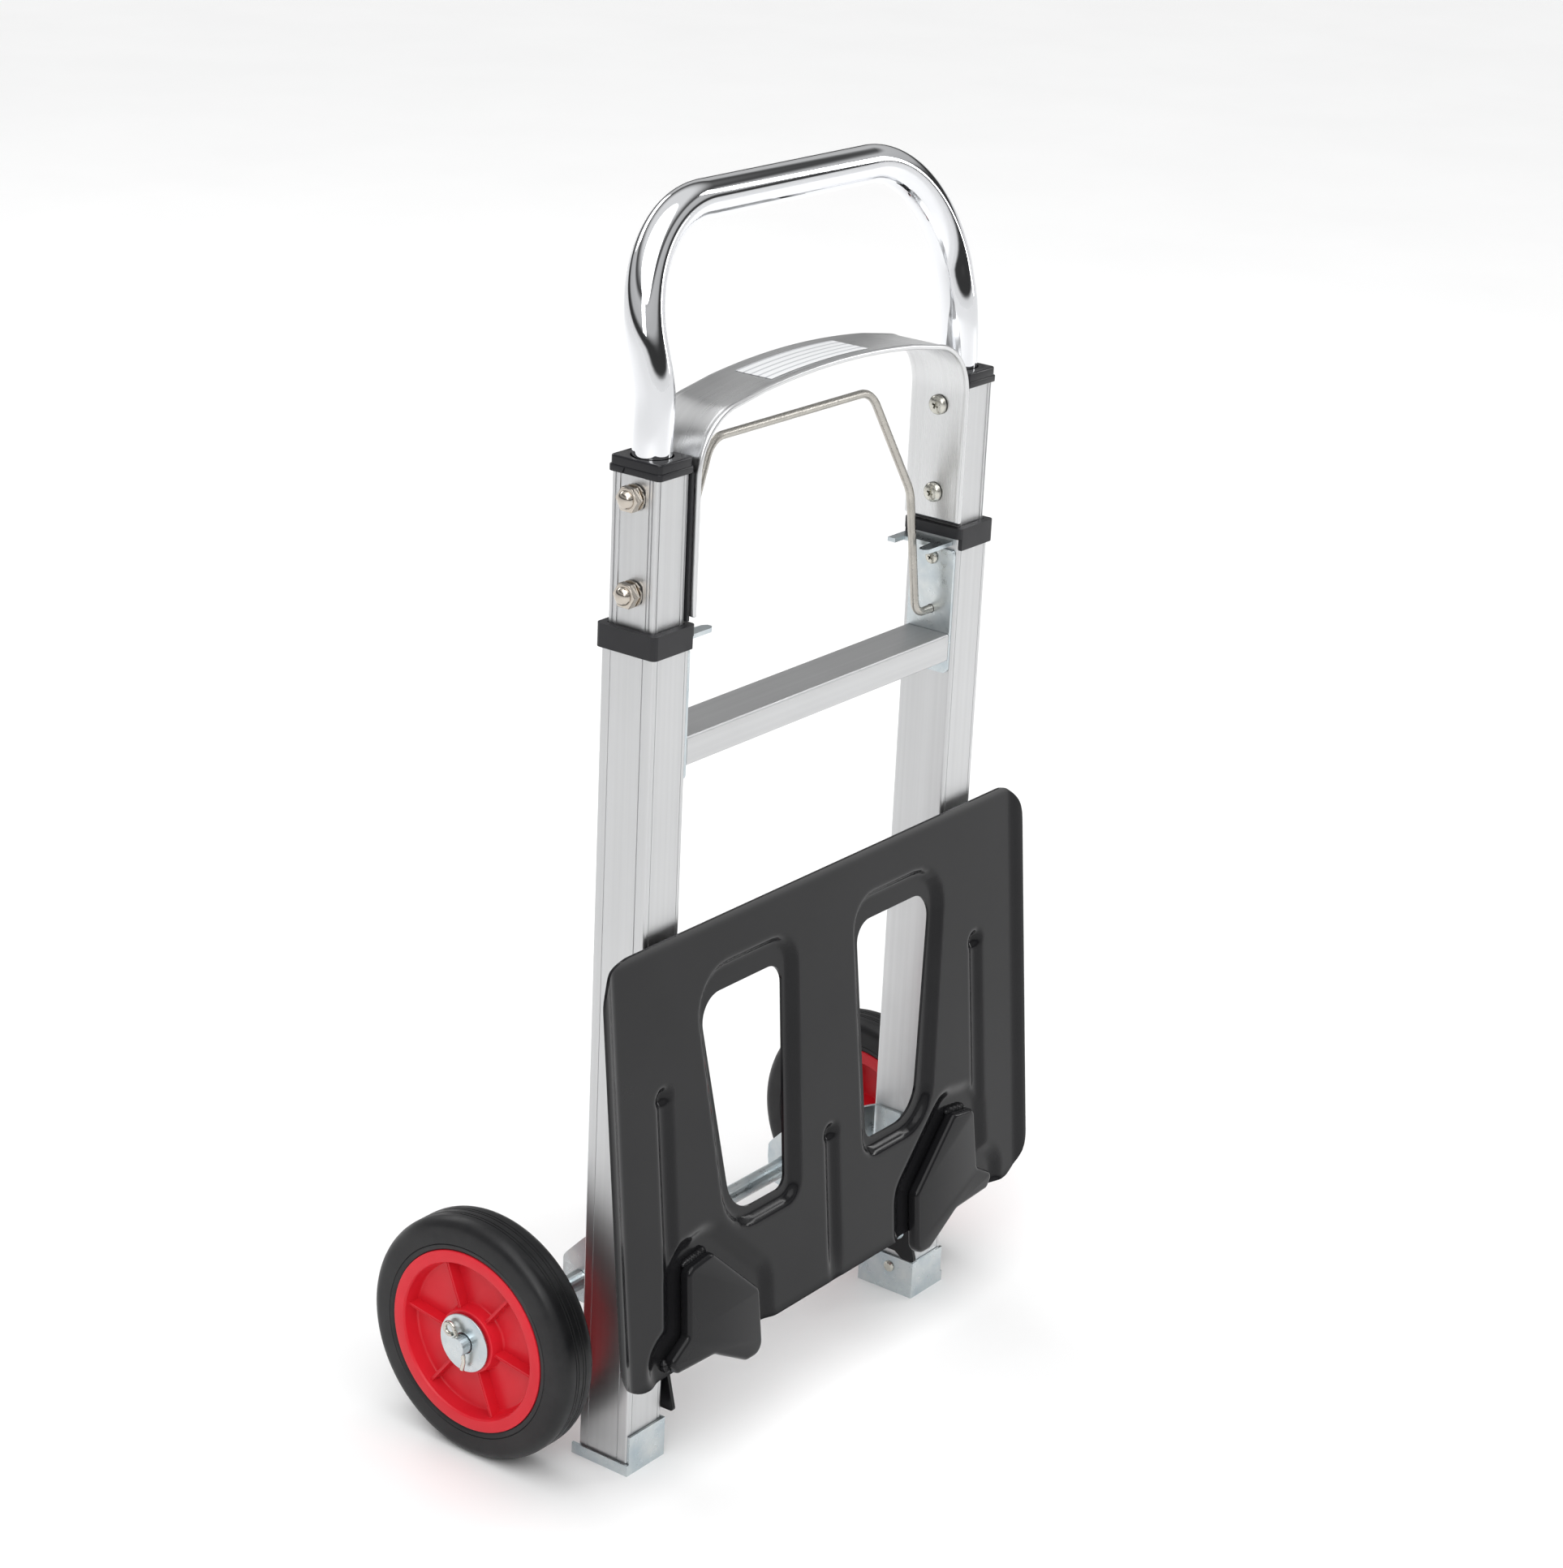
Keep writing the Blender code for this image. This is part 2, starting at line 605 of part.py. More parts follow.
def handle_tube():
    leg = [TUBE_BOTTOM, TUBE_SET_BOTTOM, 0.619, 0.630, 0.6385, 0.646, 0.654]
    half = [(tube_x(height), tube_y(height), height) for height in leg]
    centre = TUBE_TOP - TUBE_CORNER
    for step in range(TUBE_CORNER_STEPS + 1):
        angle = math.pi / 2 * step / TUBE_CORNER_STEPS
        height = centre + TUBE_CORNER * math.sin(angle)
        across_x = TUBE_X - TUBE_CORNER * (1 - math.cos(angle))
        half.append((across_x, tube_y(height), height))
    points = [(-x, y, z) for x, y, z in half] + half[::-1]
    made = curve("handle_tube", [points], "3D", False)
    made.data.bevel_depth = TUBE_RADIUS
    made.data.bevel_resolution = 4
    tube = meshed(made)
    wall = tube.modifiers.new("wall", "SOLIDIFY")
    wall.thickness = TUBE_WALL
    wall.offset = -1
    for name, side in SIDES.items():
        for level, height in BOLT_HEIGHTS.items():
            reach = (TUBE_FOOT_X - 0.02, TUBE_FOOT_X + 0.02)
            cut(tube, rod(f"tube_bolt_hole_{level}_{name}", side, reach, TUBE_Y, height, BOLT_HOLE))
    return part(tube, "chrome", HANDLE, True)


def strap():
    """Flat bar bent into an arch with a slightly crowned top."""
    crown = [(x, STRAP_CROWN - x * x / (2 * STRAP_CROWN_RADIUS)) for x in (-0.06, -0.03, 0, 0.03, 0.06)]
    corner = STRAP_CROWN - STRAP_X ** 2 / (2 * STRAP_CROWN_RADIUS)
    points = [(-STRAP_X, STRAP_BOTTOM), (-STRAP_X, corner), crown[0]]
    legs = filleted([(x, z, 0) for x, z in (points[0], points[1], points[2])], [STRAP_CORNER], 6)[:-1]
    top = [Vector((x, z, 0)) for x, z in crown]
    path = legs + top + [Vector((-x, z, 0)) for x, z, _ in reversed(legs)]
    bar = ribbon("bridge_strap", "XZ", path, STRAP_FRONT, STRAP_BACK, STRAP_SHEET)
    for name, side in SIDES.items():
        for level, height in BOLT_HEIGHTS.items():
            reach = (STRAP_X - 0.005, STRAP_X + 0.005)
            cut(bar, rod(f"strap_hole_{level}_{name}", side, reach, TUBE_Y, height, BOLT_HOLE))
    return part(bar, "aluminium", HANDLE)


def spacer(name, side):
    inside = STRAP_X + STRAP_SHEET / 2 + GAP
    outside = RAIL_X - INNER_WIDTH / 2 - GAP
    made = side_box(f"strap_spacer_{name}", side, (inside, outside), (SPACER_FRONT, SPACER_BACK),
                    (SPACER_BOTTOM, CAP_BOTTOM - GAP))
    for level, height in BOLT_HEIGHTS.items():
        reach = (inside - 0.001, outside + 0.001)
        cut(made, rod(f"spacer_hole_{level}_{name}", side, reach, TUBE_Y, height, BOLT_HOLE))
    return part(made, "black_plastic", HANDLE)


def bolt_set(name, side, level, height):
    head_face = STRAP_X - STRAP_SHEET / 2 - GAP
    washer_face = RAIL_X + INNER_WIDTH / 2 + GAP
    nut_face = washer_face + WASHER_SHEET + GAP
    shank = nut_face + NUT_HEX_HEIGHT - head_face
    profile = [(0, BOLT_HEAD_HEIGHT), (0.003, 0.0030), (0.0052, 0.0017), (BOLT_HEAD, 0), (BOLT_SHANK, 0),
               (BOLT_SHANK, -shank), (0, -shank)]
    bolt = turned(f"handle_bolt_{level}_{name}", profile, -side, 0, TUBE_Y, height, 12)
    bolt.location.x = side * head_face
    part(bolt, "steel", HANDLE)
    washer = turned(f"bolt_washer_{level}_{name}", ring(BOLT_HOLE, WASHER_RADIUS, WASHER_SHEET), side,
                    washer_face, TUBE_Y, height, 14)
    part(washer, "steel", HANDLE, True)
    part(acorn_nut(f"acorn_nut_{level}_{name}", side, nut_face, height), "steel", HANDLE, True)


def ring(inner, outer, height):
    """The profile of a plain washer, down its outer side first."""
    return [(outer, height), (outer, 0), (inner, 0), (inner, height)]


def acorn_nut(name, side, face, height):
    corner = NUT_FLATS / math.sqrt(3)
    hexagon = [(TUBE_Y + corner * math.cos(n * math.pi / 3), height + corner * math.sin(n * math.pi / 3))
               for n in range(6)]
    low, high = sorted((side * face, side * (face + NUT_HEX_HEIGHT)))
    nut = flat(name, "YZ", [hexagon], low, high)
    rise = NUT_HEIGHT - NUT_HEX_HEIGHT
    dome = [(0, rise), (0.0030, rise - 0.0006), (0.0048, rise - 0.0022), (0.0052, -0.001), (0, -0.001)]
    boolean(nut, turned(name + "_dome", dome, side, face + NUT_HEX_HEIGHT, TUBE_Y, height, 12), "UNION")
    depth = NUT_HEX_HEIGHT + 0.0008
    cut(nut, rod(name + "_bore", side, (face - 0.002, face + depth), TUBE_Y, height, BOLT_HOLE))
    return nut


def toe_place(thing):
    """Stands a piece drawn flat on the plate: its X across, its Y up the plate, its Z out of its face."""
    pivot = Vector((0, *TOE_PIVOT))
    out = Vector((0, -math.cos(TOE_LEAN), math.sin(TOE_LEAN)))
    thing.matrix_world = (Matrix.Translation(pivot + out * TOE_STANDOFF)
                          @ Matrix.Rotation(math.pi / 2 - TOE_LEAN, 4, "X"))
    return thing


def outline_distance(x, y, points):
    """How far a place is outside a closed outline, negative inside."""
    place = Vector((x, y))
    nearest = 1.0
    inside = False
    for here, after in zip(points, points[1:] + points[:1]):
        start = Vector(here)
        run = Vector(after) - start
        share = min(max((place - start).dot(run) / max(run.length_squared, 1e-12), 0), 1)
        nearest = min(nearest, (place - start - run * share).length)
        if (here[1] > y) != (after[1] > y) and x < start.x + run.x * (y - start.y) / run.y:
            inside = not inside
    return -nearest if inside else nearest


def rib_depth(x, y, rib):
    middle, low, high = rib
    past = max(low - y, y - high, 0)
    away = math.hypot(abs(x) - middle, past)
    return 1 - blend(away, RIB_HALF * 0.4, RIB_HALF * 2)


def plate_height(x, y, window, bracket):
    """Height of the plate's face at a place: rim turned out, windows, pockets and ribs pressed in."""
    edge = TOE_WIDTH / 2 - abs(x)
    top = TOE_HIGH - y
    rim = TOE_RIM_DEPTH * (1 - blend(min(edge, top + TOE_RIM_WIDTH / 2), 0, TOE_RIM_WIDTH))
    lip = 1 - blend(outline_distance(abs(x), y, window), WINDOW_LIP, WINDOW_LIP + TOE_BLEND)
    pocket = 1 - blend(outline_distance(abs(x), y, bracket), POCKET_LIP, POCKET_LIP + TOE_BLEND)
    ribs = RIB_SHARE * max(rib_depth(x, y, SIDE_RIB), rib_depth(x, y, MIDDLE_RIB))
    return rim - TOE_PRESS * max(lip, pocket, ribs)


def toe_plate():
    """One pressed sheet: a grid whose lines follow the pressings, bent, thickened and trimmed."""
    columns = [-x for x in reversed(TOE_COLUMNS[1:])] + TOE_COLUMNS
    window = rounded(WINDOW)
    bracket = rounded(BRACKET)
    mesh = bpy.data.meshes.new("toe_plate")
    work = bmesh.new()
    bmesh.ops.create_grid(work, x_segments=len(columns) - 1, y_segments=len(TOE_ROWS) - 1, size=0.5)
    for vert in work.verts:
        column = columns[round((vert.co.x + 0.5) * (len(columns) - 1))]
        row = TOE_ROWS[round((vert.co.y + 0.5) * (len(TOE_ROWS) - 1))]
        vert.co = (column, row, plate_height(column, row, window, bracket))
    work.to_mesh(mesh)
    work.free()
    plate = toe_place(bpy.data.objects.new("toe_plate", mesh))
    sheet = plate.modifiers.new("sheet", "SOLIDIFY")
    sheet.thickness = TOE_SHEET
    sheet.offset = -1
    side = TOE_WIDTH / 2
    trim = [(-side, TOE_LOW, TOE_CORNER), (side, TOE_LOW, TOE_CORNER), (side, TOE_HIGH, TOE_CORNER),
            (-side, TOE_HIGH, TOE_CORNER)]
    boolean(plate, toe_place(flat("plate_trim", "XY", [rounded(trim, 5)], -0.03, 0.03)), "INTERSECT")
    for name, sign in SIDES.items():
        hole = [(x * sign, y) for x, y in window]
        cut(plate, toe_place(flat(f"plate_window_{name}", "XY", [hole], -0.03, 0.03)))
    for change in plate.modifiers:
        if change.type == "BOOLEAN":
            change.solver = "MANIFOLD"
    return part(plate, "black_enamel", TOE)


def toe_bracket(name, side):
    """A pressed pan welded face-out on the plate, open at its back."""
    outline = rounded(BRACKET, 3, side)
    made = curve(f"toe_bracket_{name}", [outline], "2D", True)
    made.data.fill_mode = "FRONT"
    made.data.extrude = (BRACKET_PROUD - BRACKET_BACK) / 2
    pan = meshed(made)
    for vert in pan.data.vertices:
        vert.co.z += (BRACKET_PROUD + BRACKET_BACK) / 2
    if pan_faces_in(pan.data):
        pan.data.flip_normals()
    thick = pan.modifiers.new("sheet", "SOLIDIFY")
    thick.thickness = BRACKET_SHEET
    thick.offset = -1
    thick.use_even_offset = True
    return part(toe_place(pan), "black_enamel", TOE)


def pan_faces_in(mesh):
    """Whether the pan's big face looks away from its open side."""
    face = max(mesh.polygons, key=lambda polygon: polygon.area)
    return face.normal.z * (face.center.z - BRACKET_PROUD / 2) < 0


def toe_arm(name, side):
    """A flat arm from behind the plate to the hinge pin, notched to pass the shoe's rivet."""
    y, z = TOE_PIVOT
    slope = math.tan(TOE_LEAN)
    face_y = y - TOE_STANDOFF / math.cos(TOE_LEAN)

    def behind(height):
        return face_y + (height - z) * slope + ARM_REACH

    corners = [(behind(0.112), 0.112, 0.002), (behind(0.078), 0.078, 0.003), (-0.003, 0.068, 0.005),
               (0.0000, 0.053, 0.004), (-0.0058, 0.0288, 0.0015), (0.0035, 0.0285, 0.001),
               (0.0095, 0.0325, 0.001), (0.0180, 0.0325, 0.001), (0.0222, 0.0280, 0.001),
               (0.027, 0.0285, 0.002), (0.029, 0.060, 0.010), (0.010, 0.078, 0.012), (-0.006, 0.112, 0.004)]
    low, high = sorted((side * ARM_INSIDE, side * ARM_OUTSIDE))
    arm = flat(f"toe_arm_{name}", "YZ", [rounded(corners, 2)], low, high)
    reach = (ARM_INSIDE - 0.002, ARM_OUTSIDE + 0.002)
    cut(arm, rod(f"arm_hole_{name}", side, reach, y, z, PIN_RADIUS + GAP))
    part(arm, "black_enamel", TOE)
    far = PIN_STEP + RAIL_INSIDE - ARM_OUTSIDE - 2 * GAP
    profile = [(0, 0.0022), (0.0050, 0.0018), (PIN_HEAD, 0), (PIN_RADIUS, 0), (PIN_RADIUS, -PIN_STEP),
               (PIN_COLLAR, -PIN_STEP), (PIN_COLLAR, -far), (PIN_RADIUS, -far), (PIN_RADIUS, -far - PIN_TAIL),
               (0, -far - PIN_TAIL)]
    pin = turned(f"toe_hinge_pin_{name}", profile, -side, 0, y, z, 16)
    pin.location.x = side * (ARM_INSIDE - GAP)
    part(pin, "zinc", ROOT, True)


def axle():
    rod_object = rod("axle", 1, (-AXLE_END, AXLE_END), AXLE_Y, AXLE_Z, AXLE_RADIUS, 24)
    for name, side in SIDES.items():
        cut(rod_object, cotter_hole(f"cotter_hole_{name}", side))
    return part(rod_object, "zinc", ROOT, True)


def cotter_hole(name, side):
    mesh = bpy.data.meshes.new(name)
    work = bmesh.new()
    radius = COTTER_WIRE + 2 * GAP
    bmesh.ops.create_cone(work, cap_ends=True, segments=12, radius1=radius, radius2=radius, depth=0.03)
    work.to_mesh(mesh)
    work.free()
    made = bpy.data.objects.new(name, mesh)
    made.location = (side * COTTER_X, AXLE_Y, AXLE_Z)
    made.rotation_euler = (COTTER_TILT, 0, 0)
    return made


def cotter(name, side):
    """A pin through the axle with an eye at its upper end and a bent tail."""
    start = AXLE_RADIUS + 0.0035
    points = [(0, 0.0045, -AXLE_RADIUS - 0.0085), (0, 0.0012, -AXLE_RADIUS - 0.0045),
              (0, 0, -AXLE_RADIUS - 0.0012), (0, 0, start - 0.001)]
    for step in range(11):
        angle = math.radians(30 * step - 20)
        points.append((0, COTTER_EYE * (1 - math.cos(angle)), start + COTTER_EYE * math.sin(angle) + 0.0012))
    place = Matrix.Translation((side * COTTER_X, AXLE_Y, AXLE_Z)) @ Matrix.Rotation(COTTER_TILT, 4, "X")
    path = [place @ Vector(point) for point in points]
    return part(wire(f"cotter_pin_{name}", path, COTTER_WIRE, 2), "steel", ROOT, True)


def axle_stay(name, side):
    """Pressed bracket: flange on the rail, a step inboard, and a side plate out to the axle."""
    half = STAY_SHEET / 2
    flange = RAIL_INSIDE - GAP - half
    path = filleted([(side * flange, 0.014, 0), (side * flange, 0.034, 0), (side * STAY_INSIDE, 0.045, 0),
                     (side * STAY_INSIDE, 0.098, 0)], [0.004, 0.004], 3)
    stay = ribbon(f"axle_bracket_{name}", "XY", path, 0.058, STAY_TOP, STAY_SHEET)
    boolean(stay, flat(f"stay_shape_{name}", "YZ", [rounded(STAY_SHAPE, 3)], RAIL_INSIDE * min(side, 0),
                       RAIL_INSIDE * max(side, 0)), "INTERSECT")
    shelf = [(side * STAY_INSIDE, 0.0455), (side * STAY_INSIDE, 0.058), (side * (flange - 0.003), 0.058),
             (side * (flange - 0.003), 0.0365)]
    boolean(stay, flat(f"stay_shelf_{name}", "XY", [shelf], STAY_SHELF - STAY_SHEET, STAY_SHELF), "UNION")
    cut(stay, rod(f"stay_hole_{name}", side, (0.095, 0.107), AXLE_Y, AXLE_Z, AXLE_RADIUS + GAP, 24))
    part(stay, "zinc", ROOT)
    rivet = turned(f"bracket_rivet_{name}", STAY_RIVET_HEAD, -side, 0, *STAY_RIVET, 16)
    rivet.location.x = side * (flange - half - GAP)
    part(rivet, "zinc", ROOT, True)


def wheel(name, side):
    carrier = empty(f"wheel_axis_{name}", (side * (WHEEL_INSIDE + WHEEL_OUTSIDE) / 2, AXLE_Y, AXLE_Z), ROOT)
    width = WHEEL_OUTSIDE - WHEEL_INSIDE
    floor = width - HUB_DISH
    hub_profile = [(0, width - 0.001), (HUB_BOSS - 0.001, width - 0.001), (HUB_BOSS, width - 0.002),
                   (HUB_BOSS + 0.001, floor), (HUB_LIP - 0.001, floor), (HUB_LIP, width - 0.0008),
                   (HUB_LIP + 0.001, width), (HUB_RADIUS, width), (HUB_RADIUS, 0), (HUB_LIP, 0),
                   (HUB_LIP, floor - HUB_FLOOR_SHEET), (HUB_BOSS - 0.002, floor - HUB_FLOOR_SHEET),
                   (HUB_BOSS - 0.002, 0), (0, 0)]
    hub = turned(f"wheel_hub_{name}", hub_profile, side, WHEEL_INSIDE, AXLE_Y, AXLE_Z, 28)
    top = WHEEL_INSIDE + floor
    for n in range(HUB_RIBS // 2):
        bar = side_box(f"hub_rib_{n}_{name}", side, (top - 0.001, top + HUB_RIB_HEIGHT),
                       (-HUB_LIP - 0.001, HUB_LIP + 0.001), (-HUB_RIB / 2, HUB_RIB / 2))
        bar.location = (0, AXLE_Y, AXLE_Z)
        bar.rotation_euler = (2 * math.pi * n / HUB_RIBS + HUB_RIB_START, 0, 0)
        boolean(hub, bar, "UNION")
    cut(hub, rod(f"hub_bore_{name}", side, (0.165, 0.215), AXLE_Y, AXLE_Z, HUB_BORE, 24))
    part(hub, "red_plastic", carrier, True)
    bead = HUB_RADIUS + GAP
    tyre_profile = [(bead, width), (0.0675, width - 0.0006), (0.0732, width - 0.0055),
                    (WHEEL_RADIUS, width - 0.012), (WHEEL_RADIUS, 0.012), (0.0732, 0.0055), (0.0675, 0.0006),
                    (bead, 0)]
    tyre = turned(f"tyre_{name}", tyre_profile, side, WHEEL_INSIDE, AXLE_Y, AXLE_Z, 36)
    part(tyre, "rubber", carrier, True)
    washer = turned(f"wheel_washer_{name}", ring(HUB_BORE, WHEEL_WASHER_RADIUS, WHEEL_WASHER_SHEET), side,
                    WHEEL_OUTSIDE + GAP, AXLE_Y, AXLE_Z, 20)
    part(washer, "zinc", ROOT, True)
    stop = turned(f"axle_stop_{name}", ring(HUB_BORE, STOP_RADIUS, STOP_WIDTH), side,
                  WHEEL_INSIDE - GAP - STOP_WIDTH, AXLE_Y, AXLE_Z, 16)
    part(stop, "zinc", ROOT, True)
    cotter(name, side)


for old in list(bpy.data.objects):
    bpy.data.objects.remove(old)

RAIL_INSIDE = RAIL_X - RAIL_WIDTH / 2
RAIL_OUTSIDE = RAIL_X + RAIL_WIDTH / 2
LOCK_INSIDE = RAIL_INSIDE - GAP - LOCK_SHEET

PARTS = collection("hand_truck")
CUTTERS = collection("cutters", hidden=True)
ROOT = empty("truck_frame", (0, 0, 0))
HANDLE = empty("handle_slide", (0, INNER_Y, COLLAR_TOP), ROOT)
TOE = empty("toe_hinge", (0, *TOE_PIVOT), ROOT)

for side_name, side_sign in SIDES.items():
    outer_rail(side_name, side_sign)
    shoe(side_name, side_sign)
    collar(side_name, side_sign)
    lock_plate(side_name, side_sign)
    latch_fork(side_name, side_sign)
    inner_rail(side_name, side_sign)
    end_cap(side_name, side_sign)
    spacer(side_name, side_sign)
    toe_bracket(side_name, side_sign)
    toe_arm(side_name, side_sign)
    axle_stay(side_name, side_sign)
    wheel(side_name, side_sign)
    for bolt_level, bolt_height in BOLT_HEIGHTS.items():
        bolt_set(side_name, side_sign, bolt_level, bolt_height)
crossbar()
bail()
handle_tube()
strap()
toe_plate()
axle()
ROOT.location.y = -CENTRE_TO_RAIL_FRONT
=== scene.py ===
import json
import math

import bmesh
import bpy
from mathutils import Matrix, Vector


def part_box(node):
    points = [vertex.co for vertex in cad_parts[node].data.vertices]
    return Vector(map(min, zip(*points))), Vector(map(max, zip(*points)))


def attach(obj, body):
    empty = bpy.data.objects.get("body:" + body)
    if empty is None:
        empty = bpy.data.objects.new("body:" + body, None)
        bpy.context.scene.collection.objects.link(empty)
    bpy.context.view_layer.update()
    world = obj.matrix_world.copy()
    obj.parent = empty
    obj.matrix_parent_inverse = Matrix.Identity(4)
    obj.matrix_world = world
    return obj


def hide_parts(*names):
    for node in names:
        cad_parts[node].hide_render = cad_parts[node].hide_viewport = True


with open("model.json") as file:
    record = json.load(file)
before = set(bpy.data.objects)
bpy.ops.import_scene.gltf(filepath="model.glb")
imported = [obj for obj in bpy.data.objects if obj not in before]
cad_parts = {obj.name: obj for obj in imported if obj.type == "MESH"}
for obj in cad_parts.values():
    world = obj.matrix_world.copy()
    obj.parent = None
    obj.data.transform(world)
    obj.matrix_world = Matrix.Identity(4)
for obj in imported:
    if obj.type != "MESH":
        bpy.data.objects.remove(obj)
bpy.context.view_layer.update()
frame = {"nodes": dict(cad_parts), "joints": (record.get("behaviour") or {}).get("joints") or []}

# All sizes are metres in the CAD's frame: +X right, +Y to the rear, +Z up
SIDES = {"left": -1, "right": 1}
RAIL_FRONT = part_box("outer_rail_left")[0][1]
JOINTS = {joint["name"]: joint for joint in frame["joints"]}

# Chromed handle: legs plumb in the rails, set in a little above them, then leaning back
TUBE_Y = RAIL_FRONT + 0.0178
TUBE_FOOT_X = 0.1421
TUBE_LEG_X = 0.1405
TUBE_BOTTOM = 0.512
TUBE_SET = (0.608, 0.640)
TUBE_LEAN_START = 0.6404
TUBE_LEAN_SLOPE = 0.291
TUBE_LEAN_BLEND = 0.006
TUBE_TOP = 0.7286
TUBE_CORNER = 0.0664
TUBE_BORE = 0.0118

# Arched strap and its blank label
STRAP_LEG_X = 0.125
STRAP_CROWN = 0.636
STRAP_CROWN_RADIUS = 0.568
STRAP_CORNER = 0.035
STRAP_HALF_SHEET = 0.0015
STRAP_BEAD = 0.0024
LABEL_SPAN = (-0.058, 0.030)
LABEL_HALF_WIDTH = 0.0125

# Release bail: half of its path as distance from the middle and height up its own lean
BAIL_LEAN = math.radians(6.6)
BAIL_WIRE = 0.0025
BAIL_HALF = [(0.1264, 0), (0.109, 0), (0.109, 0.074), (0.074, 0.140)]
BAIL_BENDS = [0.008, 0.024, 0.017, 0.017, 0.024, 0.008]

# Toe plate: face coordinates are across, up the plate, and out of its face
TOE_LEAN = math.radians(JOINTS["toe_hinge"]["range_deg"][1] - 90)
TOE_STANDOFF = 0.0425
TOE_LOW = 0.0242
TOE_HIGH = 0.2852
TOE_HALF = 0.2025
TOE_SHEET = 0.0018
TOE_CELL = 0.0018
TOE_CORNER = 0.025
TOE_MARGIN = 0.002
RIM_HEIGHT = 0.0030
DISH_DEPTH = 0.0050
POCKET_DEPTH = 0.0035
RIB_DEPTH = 0.0026
WINDOW = [(0.0365, 0.238, 0.013), (0.1135, 0.238, 0.016), (0.091, 0.098, 0.024), (0.0405, 0.098, 0.008)]
DISH = [(0.0290, 0.2555, 0.020), (0.1210, 0.2555, 0.026), (0.1000, 0.0900, 0.028), (0.0330, 0.0900, 0.012)]
BRACKET = [(0.121, 0.089, 0.006), (0.143, 0.086, 0.006), (0.145, 0.045, 0.004), (0.162, 0.035, 0.004),
           (0.156, 0.0265, 0.004), (0.122, 0.025, 0.010), (0.093, 0.009, 0.008), (0.078, 0.009, 0.008),
           (0.079, 0.050, 0.006)]
SIDE_RIB = (0.153, 0.062, 0.193)
MIDDLE_RIB = (0.0, 0.018, 0.118)

# Wheel hub and split pin
HUB_BORE = 0.0066
HUB_BEAD = 0.0563
HUB_DISH = 0.0100
HUB_SHEET = 0.004
HUB_RIBS = 6
HUB_RIB_START = math.radians(8)
PIN_WIRE = 0.0013
PIN_EYE = 0.0036
PIN_EYE_START = 0.0095
PIN_TILT = math.radians(-25)

# Slack round a piece in its hole, and the near-zero radius that closes a turned profile
FIT = 0.0003
AXIS = 0.00001

NO_STRETCH = (1, 1, 1)

# Brightness of the studio's walls and ceiling by the sine of the height above the horizon
SKY = [(0.0, 0.85), (0.06, 0.80), (0.12, 0.04), (0.20, 0.04), (0.31, 0.50), (0.50, 0.55), (0.60, 0.07),
       (0.84, 0.8)]


# ---------------------------------------------------------------- materials

class Graph:
    """A Principled material and short ways to add nodes to it."""

    def __init__(self, name, colour, roughness, metallic=0.0, **sockets):
        self.material = bpy.data.materials.new(name)
        self.material.use_nodes = True
        self.tree = self.material.node_tree
        self.shader = self.tree.nodes["Principled BSDF"]
        self.shader.inputs["Base Color"].default_value = (*colour, 1)
        self.shader.inputs["Roughness"].default_value = roughness
        self.shader.inputs["Metallic"].default_value = metallic
        for socket, value in sockets.items():
            self.shader.inputs[socket.replace("_", " ")].default_value = value
        self.coordinates = self.node("ShaderNodeTexCoord").outputs["Object"]

    def node(self, kind, **settings):
        made = self.tree.nodes.new(kind)
        for name, value in settings.items():
            setattr(made, name, value)
        return made

    def link(self, start, end):
        self.tree.links.new(start, end)

    def noise(self, scale, stretch=NO_STRETCH, detail=4.0, roughness=0.55):
        """Noise in object space; scale is per metre, stretch slows it along an axis."""
        mapping = self.node("ShaderNodeMapping")
        mapping.inputs["Scale"].default_value = [scale * value for value in stretch]
        texture = self.node("ShaderNodeTexNoise")
        texture.inputs["Scale"].default_value = 1.0
        texture.inputs["Detail"].default_value = detail
        texture.inputs["Roughness"].default_value = roughness
        self.link(self.coordinates, mapping.inputs["Vector"])
        self.link(mapping.outputs["Vector"], texture.inputs["Vector"])
        return texture.outputs["Fac"]

    def spread(self, value, low, high, start=0.3, end=0.7):
        """Maps a noise value from start..end to low..high."""
        made = self.node("ShaderNodeMapRange")
        made.inputs["From Min"].default_value = start
        made.inputs["From Max"].default_value = end
        made.inputs["To Min"].default_value = low
        made.inputs["To Max"].default_value = high
        self.link(value, made.inputs["Value"])
        return made.outputs["Result"]

    def roughness(self, value, low, high):
        self.link(self.spread(value, low, high), self.shader.inputs["Roughness"])

    def colours(self, value, first, second, start=0.3, end=0.7):
        made = self.node("ShaderNodeMix", data_type="RGBA")
        self.link(self.spread(value, 0, 1, start, end), made.inputs["Factor"])
        made.inputs["A"].default_value = (*first, 1)
        made.inputs["B"].default_value = (*second, 1)
        self.link(made.outputs["Result"], self.shader.inputs["Base Color"])
        return made.outputs["Result"]

    def bump(self, value, height, strength=1.0, last=None):
        made = self.node("ShaderNodeBump")
        made.inputs["Distance"].default_value = height
        made.inputs["Strength"].default_value = strength
        self.link(value, made.inputs["Height"])
        if last:
            self.link(last, made.inputs["Normal"])
        self.link(made.outputs["Normal"], self.shader.inputs["Normal"])
        return made.outputs["Normal"]


